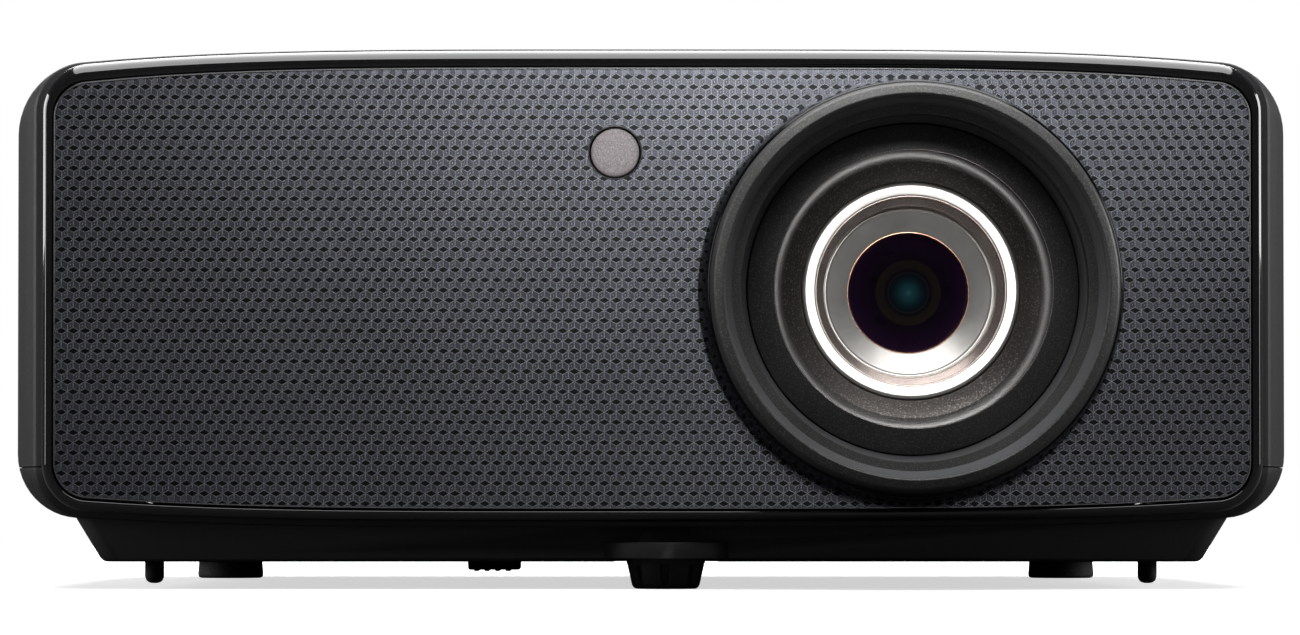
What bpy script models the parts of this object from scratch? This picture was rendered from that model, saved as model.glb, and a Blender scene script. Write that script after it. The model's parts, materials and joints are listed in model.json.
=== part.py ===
"""Home projector: a laser home-cinema projector as an assembly of separate pieces.

Units are metres and +Z is up. The front, with the lens, faces -Y, and +X is on the right
of someone who looks at the front. The origin is on the table, under the middle of the object.
"""
import math

import bmesh
import bpy
from mathutils import Matrix, Vector

# ---------------------------------------------------------------- driving dimensions (metres)
WIDTH = 0.337
BODY_DEPTH = 0.262
BODY_TOP = 0.139
LENS_REACH = 0.025
GAP = 0.0003
WALL = 0.0024

FRONT = (LENS_REACH - BODY_DEPTH) / 2

# front face: a crowned, round-cornered outline
BEZEL_HALF = 0.1566
BEZEL_TOP = 0.1383
BEZEL_LOW = 0.0173
BEZEL_DEPTH = 0.006
BEZEL_ROUND = 0.0012
CORNER = 0.0125
CROWN_TOP = 0.0046
CROWN_LOW = 0.0034
PANEL_HALF = 0.1530
PANEL_TOP = 0.1336
PANEL_LOW = 0.0207
PANEL_CORNER = 0.0090
PANEL_PROUD = 0.0005
PANEL_BACK = 0.0022

# body: (distance behind the front plane, half width, corner radius)
BODY_STATIONS = (
    (0.0063, 0.1586, 0.0130),
    (0.0180, 0.1634, 0.0150),
    (0.0380, 0.1673, 0.0170),
    (0.0600, WIDTH / 2, 0.0180),
    (0.1750, WIDTH / 2, 0.0180),
    (0.2200, 0.1665, 0.0170),
    (BODY_DEPTH, 0.1620, 0.0150),
)
BODY_LOW = 0.0160
SEAM = 0.0315

# tub under the body
TUB_FLOOR = 0.0070
TUB_HALF_TOP = 0.1480
TUB_HALF_LOW = 0.1425
TUB_FRONT = 0.0140
TUB_BACK = BODY_DEPTH - 0.0080
TUB_CORNER = 0.0060

# lens axis and infrared window on the front
LENS_X = 0.0661
LENS_Z = 0.0764
PANEL_BORE = 0.0469
WINDOW_X = -0.0095
WINDOW_Z = 0.1118
WINDOW_RADIUS = 0.00617
WINDOW_HOLE = 0.0066

# feet: (x, distance behind the front plane)
FRONT_FOOT = (0.0037, 0.0195)
REAR_FOOT = (0.1250, 0.2150)
TIP_POST = (0.1310, 0.0400)
REAR_STOP = (-0.0460, 0.2340)
CASE_SCREWS = ((0.1100, 0.0340), (0.1000, 0.2380))
FOOT_CAP_TOP = 0.0081
FOOT_CAP_RADIUS = 0.0106
FOOT_RECESS_RADIUS = 0.01425
SEAT_HOLE_RADIUS = 0.0060
FOOT_RECESS_ROOF = 0.0086
CAP_SLOTS = 8
CAP_SLOT_TURN = -92.0

# side grilles and fans
GRILLE_START = 0.0750
GRILLE_END = 0.1700
GRILLE_LOW = 0.0420
GRILLE_HIGH = 0.1120
GRILLE_ROWS = 9
GRILLE_COLUMNS = 2
FAN_SIZE = 0.0800
FAN_DEPTH = 0.0250
FAN_CENTRE = (0.1225, 0.0770)
FAN_OUTER_X = 0.1635
FAN_ARM_REACH = 0.0265
BLADES = 7

# keypad on the top
KEYPAD_Y = 0.2150
KEYPAD_HALF = (0.0440, 0.0160)
KEYPAD_TOP = 0.1386
KEYPAD_THICK = 0.0020

# (name, x from the keypad's middle, y from the keypad's middle, half width, half depth)
BUTTONS = (
    ("power_button", -0.0340, 0.0000, 0.0050, 0.0050),
    ("menu_button", -0.0180, 0.0000, 0.0040, 0.0040),
    ("enter_button", 0.0190, 0.0000, 0.0045, 0.0045),
    ("up_button", 0.0190, 0.0100, 0.0050, 0.0026),
    ("down_button", 0.0190, -0.0100, 0.0050, 0.0026),
    ("left_button", 0.0060, 0.0000, 0.0050, 0.0026),
    ("right_button", 0.0320, 0.0000, 0.0050, 0.0026),
)
BUTTON_DEPTH = 0.0042

# rear sockets: (x, z) of each middle
REAR_PANEL_DEPTH = BODY_DEPTH - 0.0045
REAR_PANEL_THICK = 0.0022
INLET = (-0.1150, 0.0480)
INLET_HALF = (0.0139, 0.0099)
INLET_CAVITY_HALF = (0.0122, 0.0082)
BOARD_TOP = 0.0876
SOCKET_LIFT = BOARD_TOP + GAP

STEPS_LARGE = 32
STEPS_SMALL = 24
STEPS_TINY = 12

# which way a turned piece's own +Z points
UP = (0.0, 0.0, 0.0)
FORWARD = (math.pi / 2, 0.0, 0.0)
BACKWARD = (-math.pi / 2, 0.0, 0.0)
RIGHT = (0.0, math.pi / 2, 0.0)
LEFT = (0.0, -math.pi / 2, 0.0)

# colour, roughness, metallic
GLOSS_BLACK = ((0.006, 0.006, 0.007), 0.12, 0.0)
SATIN_BLACK = ((0.015, 0.015, 0.016), 0.40, 0.0)
GRAIN_BLACK = ((0.020, 0.020, 0.021), 0.62, 0.0)
PATTERN_GREY = ((0.045, 0.046, 0.050), 0.35, 0.2)
WINDOW_MAUVE = ((0.300, 0.260, 0.280), 0.45, 0.0)
SATIN_SILVER = ((0.780, 0.765, 0.745), 0.32, 0.9)
COATED_GLASS = ((0.030, 0.018, 0.050), 0.04, 0.0)
BARE_ALUMINIUM = ((0.620, 0.630, 0.640), 0.35, 1.0)
CAST_ALUMINIUM = ((0.350, 0.360, 0.370), 0.50, 1.0)
ZINC_STEEL = ((0.500, 0.510, 0.520), 0.38, 1.0)
BOARD_GREEN = ((0.020, 0.110, 0.060), 0.45, 0.0)
FAN_GREY = ((0.040, 0.042, 0.045), 0.50, 0.0)
PHOSPHOR = ((0.800, 0.640, 0.120), 0.60, 0.0)
RUBBER_BLACK = ((0.012, 0.012, 0.012), 0.80, 0.0)
SOCKET_BLACK = ((0.018, 0.018, 0.018), 0.50, 0.0)
SPEAKER_PAPER = ((0.030, 0.030, 0.032), 0.75, 0.0)


# ---------------------------------------------------------------- general helpers
def clear_scene():
    """Remove whatever the scene holds."""
    for obj in list(bpy.data.objects):
        bpy.data.objects.remove(obj, do_unlink=True)


def parts_collection():
    """The collection that holds the pieces."""
    collection = bpy.data.collections.get("home_projector")
    if collection is None:
        collection = bpy.data.collections.new("home_projector")
        bpy.context.scene.collection.children.link(collection)
    return collection


def behind(distance):
    """The Y of a place this far behind the front plane."""
    return FRONT + distance


def add_object(name, mesh):
    """A new object in the pieces' collection."""
    obj = bpy.data.objects.new(name, mesh)
    parts_collection().objects.link(obj)
    return obj


def object_from_bmesh(name, shape):
    """Turn an edited mesh into an object."""
    bmesh.ops.recalc_face_normals(shape, faces=shape.faces)
    mesh = bpy.data.meshes.new(name)
    shape.to_mesh(mesh)
    shape.free()
    return add_object(name, mesh)


def paint(obj, look):
    """Give a piece its own material and its shading."""
    colour, roughness, metallic = look
    material = bpy.data.materials.new(obj.name + "_surface")
    material.use_nodes = True
    shader = material.node_tree.nodes["Principled BSDF"]
    shader.inputs["Base Color"].default_value = (*colour, 1.0)
    shader.inputs["Roughness"].default_value = roughness
    shader.inputs["Metallic"].default_value = metallic
    material.diffuse_color = (*colour, 1.0)
    obj.data.materials.clear()
    obj.data.materials.append(material)
    obj.data.shade_smooth()
    obj.data.set_sharp_from_angle(angle=math.radians(35))
    return obj


def bake(obj):
    """Replace a piece's mesh by what its modifiers make of it."""
    bpy.context.view_layer.update()
    graph = bpy.context.evaluated_depsgraph_get()
    mesh = bpy.data.meshes.new_from_object(obj.evaluated_get(graph))
    obj.modifiers.clear()
    obj.data = mesh
    return obj


def combine(target, tool, operation):
    """Join or cut the target with a tool, which is used up."""
    boolean = target.modifiers.new(operation.lower(), "BOOLEAN")
    boolean.operation = operation
    boolean.solver = "EXACT"
    boolean.object = tool
    bake(target)
    bpy.data.objects.remove(tool, do_unlink=True)
    return target


def cut(target, tool):
    """Take the tool's shape out of the target."""
    return combine(target, tool, "DIFFERENCE")


def join(target, tool):
    """Join the tool's shape to the target."""
    return combine(target, tool, "UNION")


def box(name, low, high, bevel=0.0):
    """A box between two corners, with rounded edges where a bevel width is given."""
    size = [top - bottom for bottom, top in zip(low, high)]
    shape = bmesh.new()
    bmesh.ops.create_cube(shape, size=1.0)
    bmesh.ops.scale(shape, vec=size, verts=shape.verts)
    obj = object_from_bmesh(name, shape)
    obj.location = [(bottom + top) / 2 for bottom, top in zip(low, high)]
    if bevel > 0:
        rounding = obj.modifiers.new("bevel", "BEVEL")
        rounding.width = bevel
        rounding.segments = 2
        bake(obj)
    return obj


def cylinder(name, radius, start, end, steps=STEPS_SMALL):
    """A round bar between two points."""
    start = Vector(start)
    end = Vector(end)
    length = (end - start).length
    turn = Vector((0.0, 0.0, 1.0)).rotation_difference(end - start).to_matrix().to_4x4()
    shape = bmesh.new()
    bmesh.ops.create_cone(shape, cap_ends=True, segments=steps, radius1=radius, radius2=radius,
                          depth=length, matrix=turn)
    obj = object_from_bmesh(name, shape)
    obj.location = (start + end) / 2
    return obj


def turned(name, profile, place, facing, steps=STEPS_LARGE):
    """A turned piece: (radius, height) points down its outer side and back up its bore."""
    count = len(profile)
    ring = profile[0][0] > 0
    edges = [(index, index + 1) for index in range(count - 1)]
    if ring:
        edges.append((count - 1, 0))
    mesh = bpy.data.meshes.new(name)
    mesh.from_pydata([(radius, 0.0, height) for radius, height in profile], edges, [])
    obj = add_object(name, mesh)
    screw = obj.modifiers.new("turn", "SCREW")
    screw.steps = steps
    screw.render_steps = steps
    screw.use_merge_vertices = True
    screw.merge_threshold = 0.00001
    obj.location = place
    obj.rotation_euler = facing
    return bake(obj)


def loft(name, sections):
    """A closed solid through rings of equally many points, with a flat face at each end."""
    shape = bmesh.new()
    rings = [[shape.verts.new(point) for point in section] for section in sections]
    count = len(rings[0])
    for first, second in zip(rings, rings[1:]):
        for index in range(count):
            following = (index + 1) % count
            shape.faces.new((first[index], first[following], second[following], second[index]))
    shape.faces.new(rings[0])
    shape.faces.new(rings[-1])
    return object_from_bmesh(name, shape)


def plate(name, outlines, thickness, place, facing, rounding=0.0):
    """A flat plate: the first outline is its edge and the others are holes through it."""
    curve = bpy.data.curves.new(name, "CURVE")
    curve.dimensions = "2D"
    curve.fill_mode = "BOTH"
    curve.extrude = thickness / 2 - rounding
    curve.bevel_depth = rounding
    curve.bevel_resolution = 0
    curve.offset = -rounding
    for outline in outlines:
        spline = curve.splines.new("POLY")
        spline.points.add(len(outline) - 1)
        for point, (across, up) in zip(spline.points, outline):
            point.co = (across, up, 0.0, 1.0)
        spline.use_cyclic_u = True
    source = bpy.data.objects.new(name + "_curve", curve)
    parts_collection().objects.link(source)
    source.location = place
    source.rotation_euler = facing
    bpy.context.view_layer.update()
    graph = bpy.context.evaluated_depsgraph_get()
    mesh = bpy.data.meshes.new_from_object(source.evaluated_get(graph))
    shape = bmesh.new()
    shape.from_mesh(mesh)
    bmesh.ops.remove_doubles(shape, verts=shape.verts, dist=0.000001)
    obj = object_from_bmesh(name, shape)
    obj.matrix_world = source.matrix_world.copy()
    bpy.data.objects.remove(source, do_unlink=True)
    return obj


# ---------------------------------------------------------------- outlines
def arc(centre, radius, start_deg, end_deg, steps):
    """Points along a circular arc, both ends included."""
    angles = [math.radians(start_deg + (end_deg - start_deg) * step / steps)
              for step in range(steps + 1)]
    return [(centre[0] + radius * math.cos(angle), centre[1] + radius * math.sin(angle))
            for angle in angles]


def circle(centre, radius, steps=STEPS_SMALL):
    """A closed round outline."""
    return arc(centre, radius, 0, 360 - 360 / steps, steps - 1)


def rectangle(centre, half_width, half_height):
    """A closed rectangle, anticlockwise."""
    return [(centre[0] + across * half_width, centre[1] + up * half_height)
            for across, up in ((1, 1), (-1, 1), (-1, -1), (1, -1))]


def rounded_rectangle(centre, half_width, half_height, radius, steps=3):
    """A closed rectangle with round corners, anticlockwise."""
    points = []
    for across, up, start in ((1, 1, 0), (-1, 1, 90), (-1, -1, 180), (1, -1, 270)):
        corner = (centre[0] + across * (half_width - radius),
                  centre[1] + up * (half_height - radius))
        points += arc(corner, radius, start, start + 90, steps)
    return points


def crowned_quarter(half_width, height, corner, crown, edge_steps=4, arc_steps=3):
    """A crowned edge and its round corner, from the middle of the edge out to the side."""
    turn_in = half_width - corner
    tilt = math.atan(4 * crown / half_width * (turn_in / half_width) ** 3)
    edge_end = turn_in + corner * math.sin(tilt)
    points = []
    for step in range(edge_steps):
        across = edge_end * step / edge_steps
        points.append((across, height - crown * (across / half_width) ** 4))
    edge_height = height - crown * (edge_end / half_width) ** 4
    centre = (turn_in, edge_height - corner * math.cos(tilt))
    points += arc(centre, corner, 90 - math.degrees(tilt), 0, arc_steps)
    return points


def crowned_outline(half_width, low, high, corner):
    """The body's closed outline in X and Z, anticlockwise from the top middle."""
    top = crowned_quarter(half_width, high, corner, CROWN_TOP)
    bottom = [(across, -up) for across, up in crowned_quarter(half_width, -low, corner, CROWN_LOW)]
    left_top = [(-across, up) for across, up in top]
    left_bottom = [(-across, up) for across, up in bottom]
    return left_top + left_bottom[::-1] + bottom[1:] + top[:0:-1]


def body_solid(name, inset=0.0, overrun=0.0):
    """The body's outer form, or the space inside its wall where an inset is given."""
    sections = []
    last = len(BODY_STATIONS) - 1
    for index, (distance, half_width, corner) in enumerate(BODY_STATIONS):
        if index == 0:
            distance -= overrun
        if index == last:
            distance += overrun
        outline = crowned_outline(half_width - inset, BODY_LOW + inset, BODY_TOP - inset,
                                  corner - inset)
        sections.append([(across, behind(distance), up) for across, up in outline])
    return loft(name, sections)


def tub_solid(name, inset=0.0, roof=BODY_LOW + 0.006):
    """The tapered tub below the body, or the space inside it where an inset is given."""
    sections = []
    middle = behind((TUB_FRONT + TUB_BACK) / 2)
    half_depth = (TUB_BACK - TUB_FRONT) / 2 - inset
    slope = (TUB_HALF_TOP - TUB_HALF_LOW) / (BODY_LOW - TUB_FLOOR)
    floor = TUB_FLOOR + inset
    for height, edge in ((floor, 0.0012), (floor + 0.0008, 0.0), (roof, 0.0)):
        half_width = TUB_HALF_LOW + slope * (height - TUB_FLOOR) - inset - edge
        outline = rounded_rectangle((0.0, middle), half_width, half_depth - edge,
                                    TUB_CORNER - inset - edge)
        sections.append([(across, along, height) for across, along in outline])
    return loft(name, sections)


# ---------------------------------------------------------------- casing
def foot_places():
    """X and Y of the two rear feet."""
    across, distance = REAR_FOOT
    return {"left": (-across, behind(distance)), "right": (across, behind(distance))}


def screw_places():
    """X and Y of the four case screws."""
    return [(side * across, behind(distance)) for across, distance in CASE_SCREWS for side in (-1, 1)]


def ceiling_hole_places():
    """X and Y of the three threaded holes for a ceiling bracket."""
    return [(-0.080, behind(0.075)), (0.080, behind(0.075)), (0.000, behind(0.205))]


def top_cover():
    """The upper shell, which wraps the sides down to the seam."""
    cover = body_solid("top_cover")
    cut(cover, body_solid("cover_space", WALL, 0.02))
    cut(cover, box("below_seam", (-0.2, -0.3, -0.1), (0.2, 0.3, SEAM + GAP / 2)))
    for side in (-1, 1):
        inner = side * (WIDTH / 2 - 0.01)
        outer = side * (WIDTH / 2 + 0.01)
        cut(cover, box("grille_opening", (min(inner, outer), behind(GRILLE_START), GRILLE_LOW),
                       (max(inner, outer), behind(GRILLE_END), GRILLE_HIGH)))
    opening = rounded_rectangle((0.0, 0.0), KEYPAD_HALF[0], KEYPAD_HALF[1], 0.005)
    cut(cover, plate("keypad_opening", [opening], 0.02, (0.0, behind(KEYPAD_Y), BODY_TOP), UP))
    return paint(cover, GRAIN_BLACK)


def group(name, pieces):
    """Several separate tools as one object."""
    bpy.context.view_layer.update()
    shape = bmesh.new()
    for piece in pieces:
        piece.data.transform(piece.matrix_world)
        shape.from_mesh(piece.data)
        bpy.data.objects.remove(piece, do_unlink=True)
    return object_from_bmesh(name, shape)


def boss(place, radius, top, bore, head_bore=0.0, head_top=0.0):
    """A bored boss through the tub's floor, with a wider bore for a screw head where one is given."""
    low = TUB_FLOOR + 0.0004
    profile = [(radius, top), (radius, low)]
    if head_bore > 0:
        profile += [(head_bore, low), (head_bore, head_top), (bore, head_top), (bore, top)]
    else:
        profile += [(bore, low), (bore, top)]
    return turned("boss", profile, (*place, 0.0), UP, STEPS_TINY)


def floor_hole(place, radius):
    """A round cutter through the tub's floor."""
    return cylinder("floor_hole", radius, (*place, 0.0), (*place, 0.0120), 10)


def floor_bosses():
    """The bosses on the tub's floor, and the holes that they and the posts stand in."""
    bosses = []
    holes = []
    for place in foot_places().values():
        bosses.append(boss(place, 0.0070, 0.0165, 0.0034))
        holes.append(floor_hole(place, 0.0052))
    for place in screw_places():
        bosses.append(boss(place, 0.0046, 0.0140, 0.0017, 0.0032, 0.0093))
        holes.append(floor_hole(place, 0.0039))
    for place in ceiling_hole_places():
        bosses.append(boss(place, 0.0055, 0.0160, 0.0020))
        holes.append(floor_hole(place, 0.0038))
    for side in (-1, 1):
        holes.append(floor_hole((side * TIP_POST[0], behind(TIP_POST[1])), 0.00295))
    return group("bosses", bosses), group("floor_holes", holes)


def add_front_foot_seat(case):
    """The conical collar over the front foot, and the shallow recess round the foot's cap."""
    across = FRONT_FOOT[0]
    along = behind(FRONT_FOOT[1])
    pad_half = FOOT_RECESS_RADIUS + WALL
    join(case, box("seat_pad", (across - pad_half, behind(TUB_FRONT + 0.001), TUB_FLOOR + 0.001),
                   (across + pad_half, along + pad_half, FOOT_RECESS_ROOF + WALL)))
    cut(case, cylinder("seat_hole", SEAT_HOLE_RADIUS, (across, along, 0.0),
                       (across, along, BODY_LOW + 0.008), 20))
    collar = [(0.0074, 0.0300), (0.0079, BODY_LOW + WALL), (0.0100, 0.0080), (0.0043, 0.0080),
              (0.0043, 0.0300)]
    join(case, turned("foot_collar", collar, (across, along, 0.0), UP, STEPS_SMALL))
    recess = [(0.0, FOOT_RECESS_ROOF), (0.0112, FOOT_RECESS_ROOF), (FOOT_RECESS_RADIUS, TUB_FLOOR),
              (FOOT_RECESS_RADIUS, 0.0), (0.0, 0.0)]
    cut(case, turned("foot_recess", recess, (across, along, 0.0), UP, 28))


def bottom_case():
    """The lower shell and its tub, with the front foot's seat and bosses for feet and screws."""
    case = body_solid("bottom_case")
    cut(case, box("above_seam", (-0.2, -0.3, SEAM - GAP / 2), (0.2, 0.3, 0.3)))
    join(case, tub_solid("tub"))
    cut(case, body_solid("case_space", WALL, 0.02))
    cut(case, tub_solid("tub_space", WALL, BODY_LOW + 0.010))
    add_front_foot_seat(case)
    bosses, holes = floor_bosses()
    cut(case, holes)
    join(case, bosses)
    return paint(case, GRAIN_BLACK)


def front_bezel():
    """The glossy ring round the front panel."""
    edge = crowned_outline(BEZEL_HALF, BEZEL_LOW, BEZEL_TOP, CORNER)
    mouth = crowned_outline(PANEL_HALF + GAP, PANEL_LOW - GAP, PANEL_TOP + GAP, PANEL_CORNER)
    middle = behind(BEZEL_DEPTH / 2)
    bezel = plate("front_bezel", [edge, mouth], BEZEL_DEPTH, (0.0, middle, 0.0), FORWARD, BEZEL_ROUND)
    return paint(bezel, GLOSS_BLACK)


def front_panel():
    """The patterned panel, with the bores for the lens and the infrared window."""
    edge = crowned_outline(PANEL_HALF, PANEL_LOW, PANEL_TOP, PANEL_CORNER)
    lens_bore = circle((LENS_X, LENS_Z), PANEL_BORE, STEPS_LARGE)
    window_bore = circle((WINDOW_X, WINDOW_Z), WINDOW_HOLE)
    thickness = PANEL_PROUD + PANEL_BACK
    middle = behind((PANEL_BACK - PANEL_PROUD) / 2)
    panel = plate("front_panel", [edge, lens_bore, window_bore], thickness, (0.0, middle, 0.0), FORWARD)
    return paint(panel, PATTERN_GREY)


def ir_window():
    """The round window over the remote control's receiver."""
    profile = [(0.0, 0.0005), (WINDOW_RADIUS - 0.0004, 0.0004), (WINDOW_RADIUS, 0.0),
               (WINDOW_RADIUS, -0.0030), (0.0, -0.0030)]
    window = turned("ir_window", profile, (WINDOW_X, FRONT, WINDOW_Z), FORWARD, STEPS_SMALL)
    return paint(window, WINDOW_MAUVE)


def side_grille(name, side):
    """A louvred air grille in one side of the top cover."""
    half_depth = (GRILLE_END - GRILLE_START) / 2 - GAP
    half_height = (GRILLE_HIGH - GRILLE_LOW) / 2 - GAP
    outlines = [rectangle((0.0, 0.0), half_height, half_depth)]
    row_pitch = 2 * half_height / (GRILLE_ROWS + 0.5)
    column_pitch = 2 * half_depth / (GRILLE_COLUMNS + 0.1)
    for row in range(GRILLE_ROWS):
        for column in range(GRILLE_COLUMNS):
            middle = ((row - (GRILLE_ROWS - 1) / 2) * row_pitch,
                      (column - (GRILLE_COLUMNS - 1) / 2) * column_pitch)
            outlines.append(rectangle(middle, row_pitch * 0.28, column_pitch * 0.45))
    place = (side * (WIDTH / 2 - 0.0013), behind((GRILLE_START + GRILLE_END) / 2),
             (GRILLE_LOW + GRILLE_HIGH) / 2)
    return paint(plate(name, outlines, 0.0020, place, RIGHT), SATIN_BLACK)


def rear_panel():
    """The socket panel that closes the back."""
    inset = WALL + GAP
    half_width = BODY_STATIONS[-1][1] - inset
    corner = BODY_STATIONS[-1][2] - inset
    edge = crowned_outline(half_width, BODY_LOW + inset, BODY_TOP - inset, corner)
    holes = [rounded_rectangle(INLET, INLET_HALF[0] + GAP, INLET_HALF[1] + GAP, 0.0015)]
    for across, half_width, height in socket_openings():
        middle = (across, SOCKET_LIFT + height / 2)
        holes.append(rectangle(middle, half_width + GAP, height / 2 + GAP))
    holes.append(circle((AUDIO_X, SOCKET_LIFT + AUDIO_RADIUS), AUDIO_RADIUS + GAP, 16))
    for side in (-1, 1):
        for row in range(5):
            middle = (side * SPEAKER_X, SPEAKER_Z + (row - 2) * 0.006)
            holes.append(rectangle(middle, 0.012, 0.0013))
    thickness = REAR_PANEL_THICK
    place = (0.0, behind(REAR_PANEL_DEPTH - thickness / 2), 0.0)
    return paint(plate("rear_panel", [edge] + holes, thickness, place, FORWARD), SATIN_BLACK)


def case_screws():
    """The four screws that hold the bottom case, each in its counterbore."""
    profile = [(0.0, 0.0150), (0.0014, 0.0144), (0.0014, 0.0090), (0.0029, 0.0090), (0.0029, 0.0074),
               (0.0, 0.0074)]
    for number, place in enumerate(screw_places(), 1):
        paint(turned(f"case_screw_{number}", profile, (*place, 0.0), UP, STEPS_TINY), ZINC_STEEL)


# ---------------------------------------------------------------- lens
def lens_piece(name, profile, look, steps=STEPS_LARGE):
    """A turned lens piece; heights are millimetres in front of the front plane, radii too."""
    points = [(radius / 1000, height / 1000) for radius, height in profile]
    return paint(turned(name, points, (LENS_X, FRONT, LENS_Z), FORWARD, steps), look)


def glass(name, radius, front, front_sag, back, back_sag, look=COATED_GLASS):
    """A lens element in millimetres: the middles of its two faces, and how far each curves back."""
    rings = 3
    front_face = [(radius * step / rings, front - front_sag * (step / rings) ** 2)
                  for step in range(rings + 1)]
    back_face = [(radius * step / rings, back - back_sag * (step / rings) ** 2)
                 for step in range(rings, -1, -1)]
    return lens_piece(name, front_face + back_face, look, STEPS_SMALL)


def lens():
    """The zoom and focus rings, the fixed hood, the moving barrel and cell, and the glass."""
    lens_piece("zoom_ring", ((51.9, 17.9), (52.4, 17.4), (54.4, 2.4), (54.0, 0.9), (46.6, 0.9),
                             (46.6, -8.0), (44.2, -8.0), (44.2, 17.9)), GLOSS_BLACK)
    lens_piece("focus_ring", ((50.6, 25.0), (51.1, 24.5), (51.8, 18.2), (43.9, 18.2), (43.9, -6.0),
                              (42.3, -6.0), (42.45, 9.0), (48.4, 22.0), (48.9, 24.5), (49.6, 25.0)),
               SATIN_BLACK)
    lens_piece("lens_hood", ((35.45, 13.0), (42.0, 9.2), (42.0, -4.0), (40.5, -4.0), (40.5, 7.2),
                             (36.6, 9.6), (34.9, 4.4), (30.4, -1.0), (28.3, -1.0), (28.15, 1.0),
                             (32.7, 5.0)), SATIN_BLACK)
    lens_piece("front_barrel", ((27.2, 0.9), (27.8, 0.2), (27.8, -22.0), (17.5, -22.0), (17.5, -11.4),
                                (15.7, -11.4), (15.7, -10.4), (21.0, -8.2), (21.6, -8.0),
                                (21.85, -2.0), (24.2, -1.2), (24.3, 0.6)), SATIN_SILVER)
    glass("front_glass", 17.2, -9.4, 2.8, -18.0, -2.0)
    lens_piece("lens_body", ((30.6, -2.5), (30.6, -9.5), (44.0, -9.5), (44.0, -12.5), (30.6, -12.5),
                             (30.6, -27.4), (23.0, -27.4), (23.0, -78.0), (20.5, -78.0),
                             (20.5, -25.0), (28.1, -25.0), (28.1, -2.5)), CAST_ALUMINIUM, STEPS_SMALL)
    lens_piece("zoom_cell", ((19.4, -34.0), (20.2, -34.8), (20.2, -50.0), (13.5, -50.0), (13.5, -39.0),
                             (12.3, -39.0), (12.3, -38.0)), SATIN_BLACK, STEPS_SMALL)
    glass("zoom_glass", 13.2, -38.2, 1.6, -47.0, 1.8)
    glass("rear_glass", 20.2, -61.0, 2.0, -70.0, -2.0)


# ---------------------------------------------------------------- light engine
ENGINE_HALF = (0.034, 0.040)
ENGINE_START = 0.064
ENGINE_END = 0.140
BASE_PLATE_LOW = 0.0170
BASE_PLATE_THICK = 0.0012
STAND = BASE_PLATE_LOW + BASE_PLATE_THICK + GAP
WHEEL_X = 0.0105
WHEEL_Y = 0.0960
WHEEL_Z = 0.0540
MOTOR_LENGTH = 0.0140
LASER_FAR_X = -0.0580


def base_plate():
    """The sheet steel plate that carries the inner units, with the wheel motor's upright tab."""
    hull = rounded_rectangle((0.0, behind(0.149)), 0.138, 0.100, 0.006)
    holes = [circle(place, 0.009, 16) for place in ceiling_hole_places()]
    base = plate("base_plate", [hull] + holes, BASE_PLATE_THICK,
                 (0.0, 0.0, BASE_PLATE_LOW + BASE_PLATE_THICK / 2), UP)
    tab_face = WHEEL_X - MOTOR_LENGTH - GAP
    join(base, box("motor_tab", (tab_face - 0.002, behind(WHEEL_Y) - 0.012, BASE_PLATE_LOW + 0.0002),
                   (tab_face, behind(WHEEL_Y) + 0.012, WHEEL_Z + 0.014)))
    return paint(base, ZINC_STEEL)


def engine_housing():
    """The cast box behind the lens, with ports for the lens, the light and the mirror chip."""
    half_width, half_height = ENGINE_HALF
    low = (LENS_X - half_width, behind(ENGINE_START), STAND)
    high = (LENS_X + half_width, behind(ENGINE_END), LENS_Z + half_height)
    housing = box("engine_housing", low, high)
    wall = 0.003
    cut(housing, box("engine_space", [value + wall for value in low], [value - wall for value in high]))
    cut(housing, cylinder("lens_port", 0.0234, (LENS_X, behind(ENGINE_START - 0.01), LENS_Z),
                          (LENS_X, behind(ENGINE_START + 0.01), LENS_Z), STEPS_LARGE))
    cut(housing, box("light_port", (low[0] - 0.01, behind(0.086), 0.066),
                     (low[0] + 0.01, behind(0.106), 0.086)))
    cut(housing, box("chip_port", (LENS_X - 0.013, high[1] - 0.01, LENS_Z - 0.010),
                     (LENS_X + 0.013, high[1] + 0.01, LENS_Z + 0.010)))
    return paint(housing, CAST_ALUMINIUM)


def finned_sink(name, low, high, base, fins, along, across):
    """A heat sink: a base plate at the low end of one axis, and fins spread along another."""
    base_high = list(high)
    base_high[along] = low[along] + base
    sink = box(name, low, base_high)
    pitch = (high[across] - low[across]) / (fins - 0.5)
    for number in range(fins):
        fin_low = list(low)
        fin_high = list(high)
        fin_low[along] = low[along] + base / 2
        fin_low[across] = low[across] + number * pitch
        fin_high[across] = fin_low[across] + pitch / 2
        join(sink, box("fin", fin_low, fin_high))
    return paint(sink, BARE_ALUMINIUM)


def mirror_chip_board():
    """The board behind the engine, with the mirror chip facing into it."""
    front = behind(ENGINE_END) + GAP
    board = box("mirror_chip_board", (LENS_X - 0.030, front, LENS_Z - 0.032),
                (LENS_X + 0.030, front + 0.0016, LENS_Z + 0.032))
    join(board, box("chip", (LENS_X - 0.010, front - 0.0028, LENS_Z - 0.007),
                    (LENS_X + 0.010, front + 0.0008, LENS_Z + 0.007)))
    paint(board, BOARD_GREEN)
    back = front + 0.0016 + GAP
    finned_sink("mirror_chip_heat_sink", (LENS_X - 0.028, back, LENS_Z - 0.028),
                (LENS_X + 0.028, back + 0.026, LENS_Z + 0.028), 0.004, 8, 1, 0)


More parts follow.
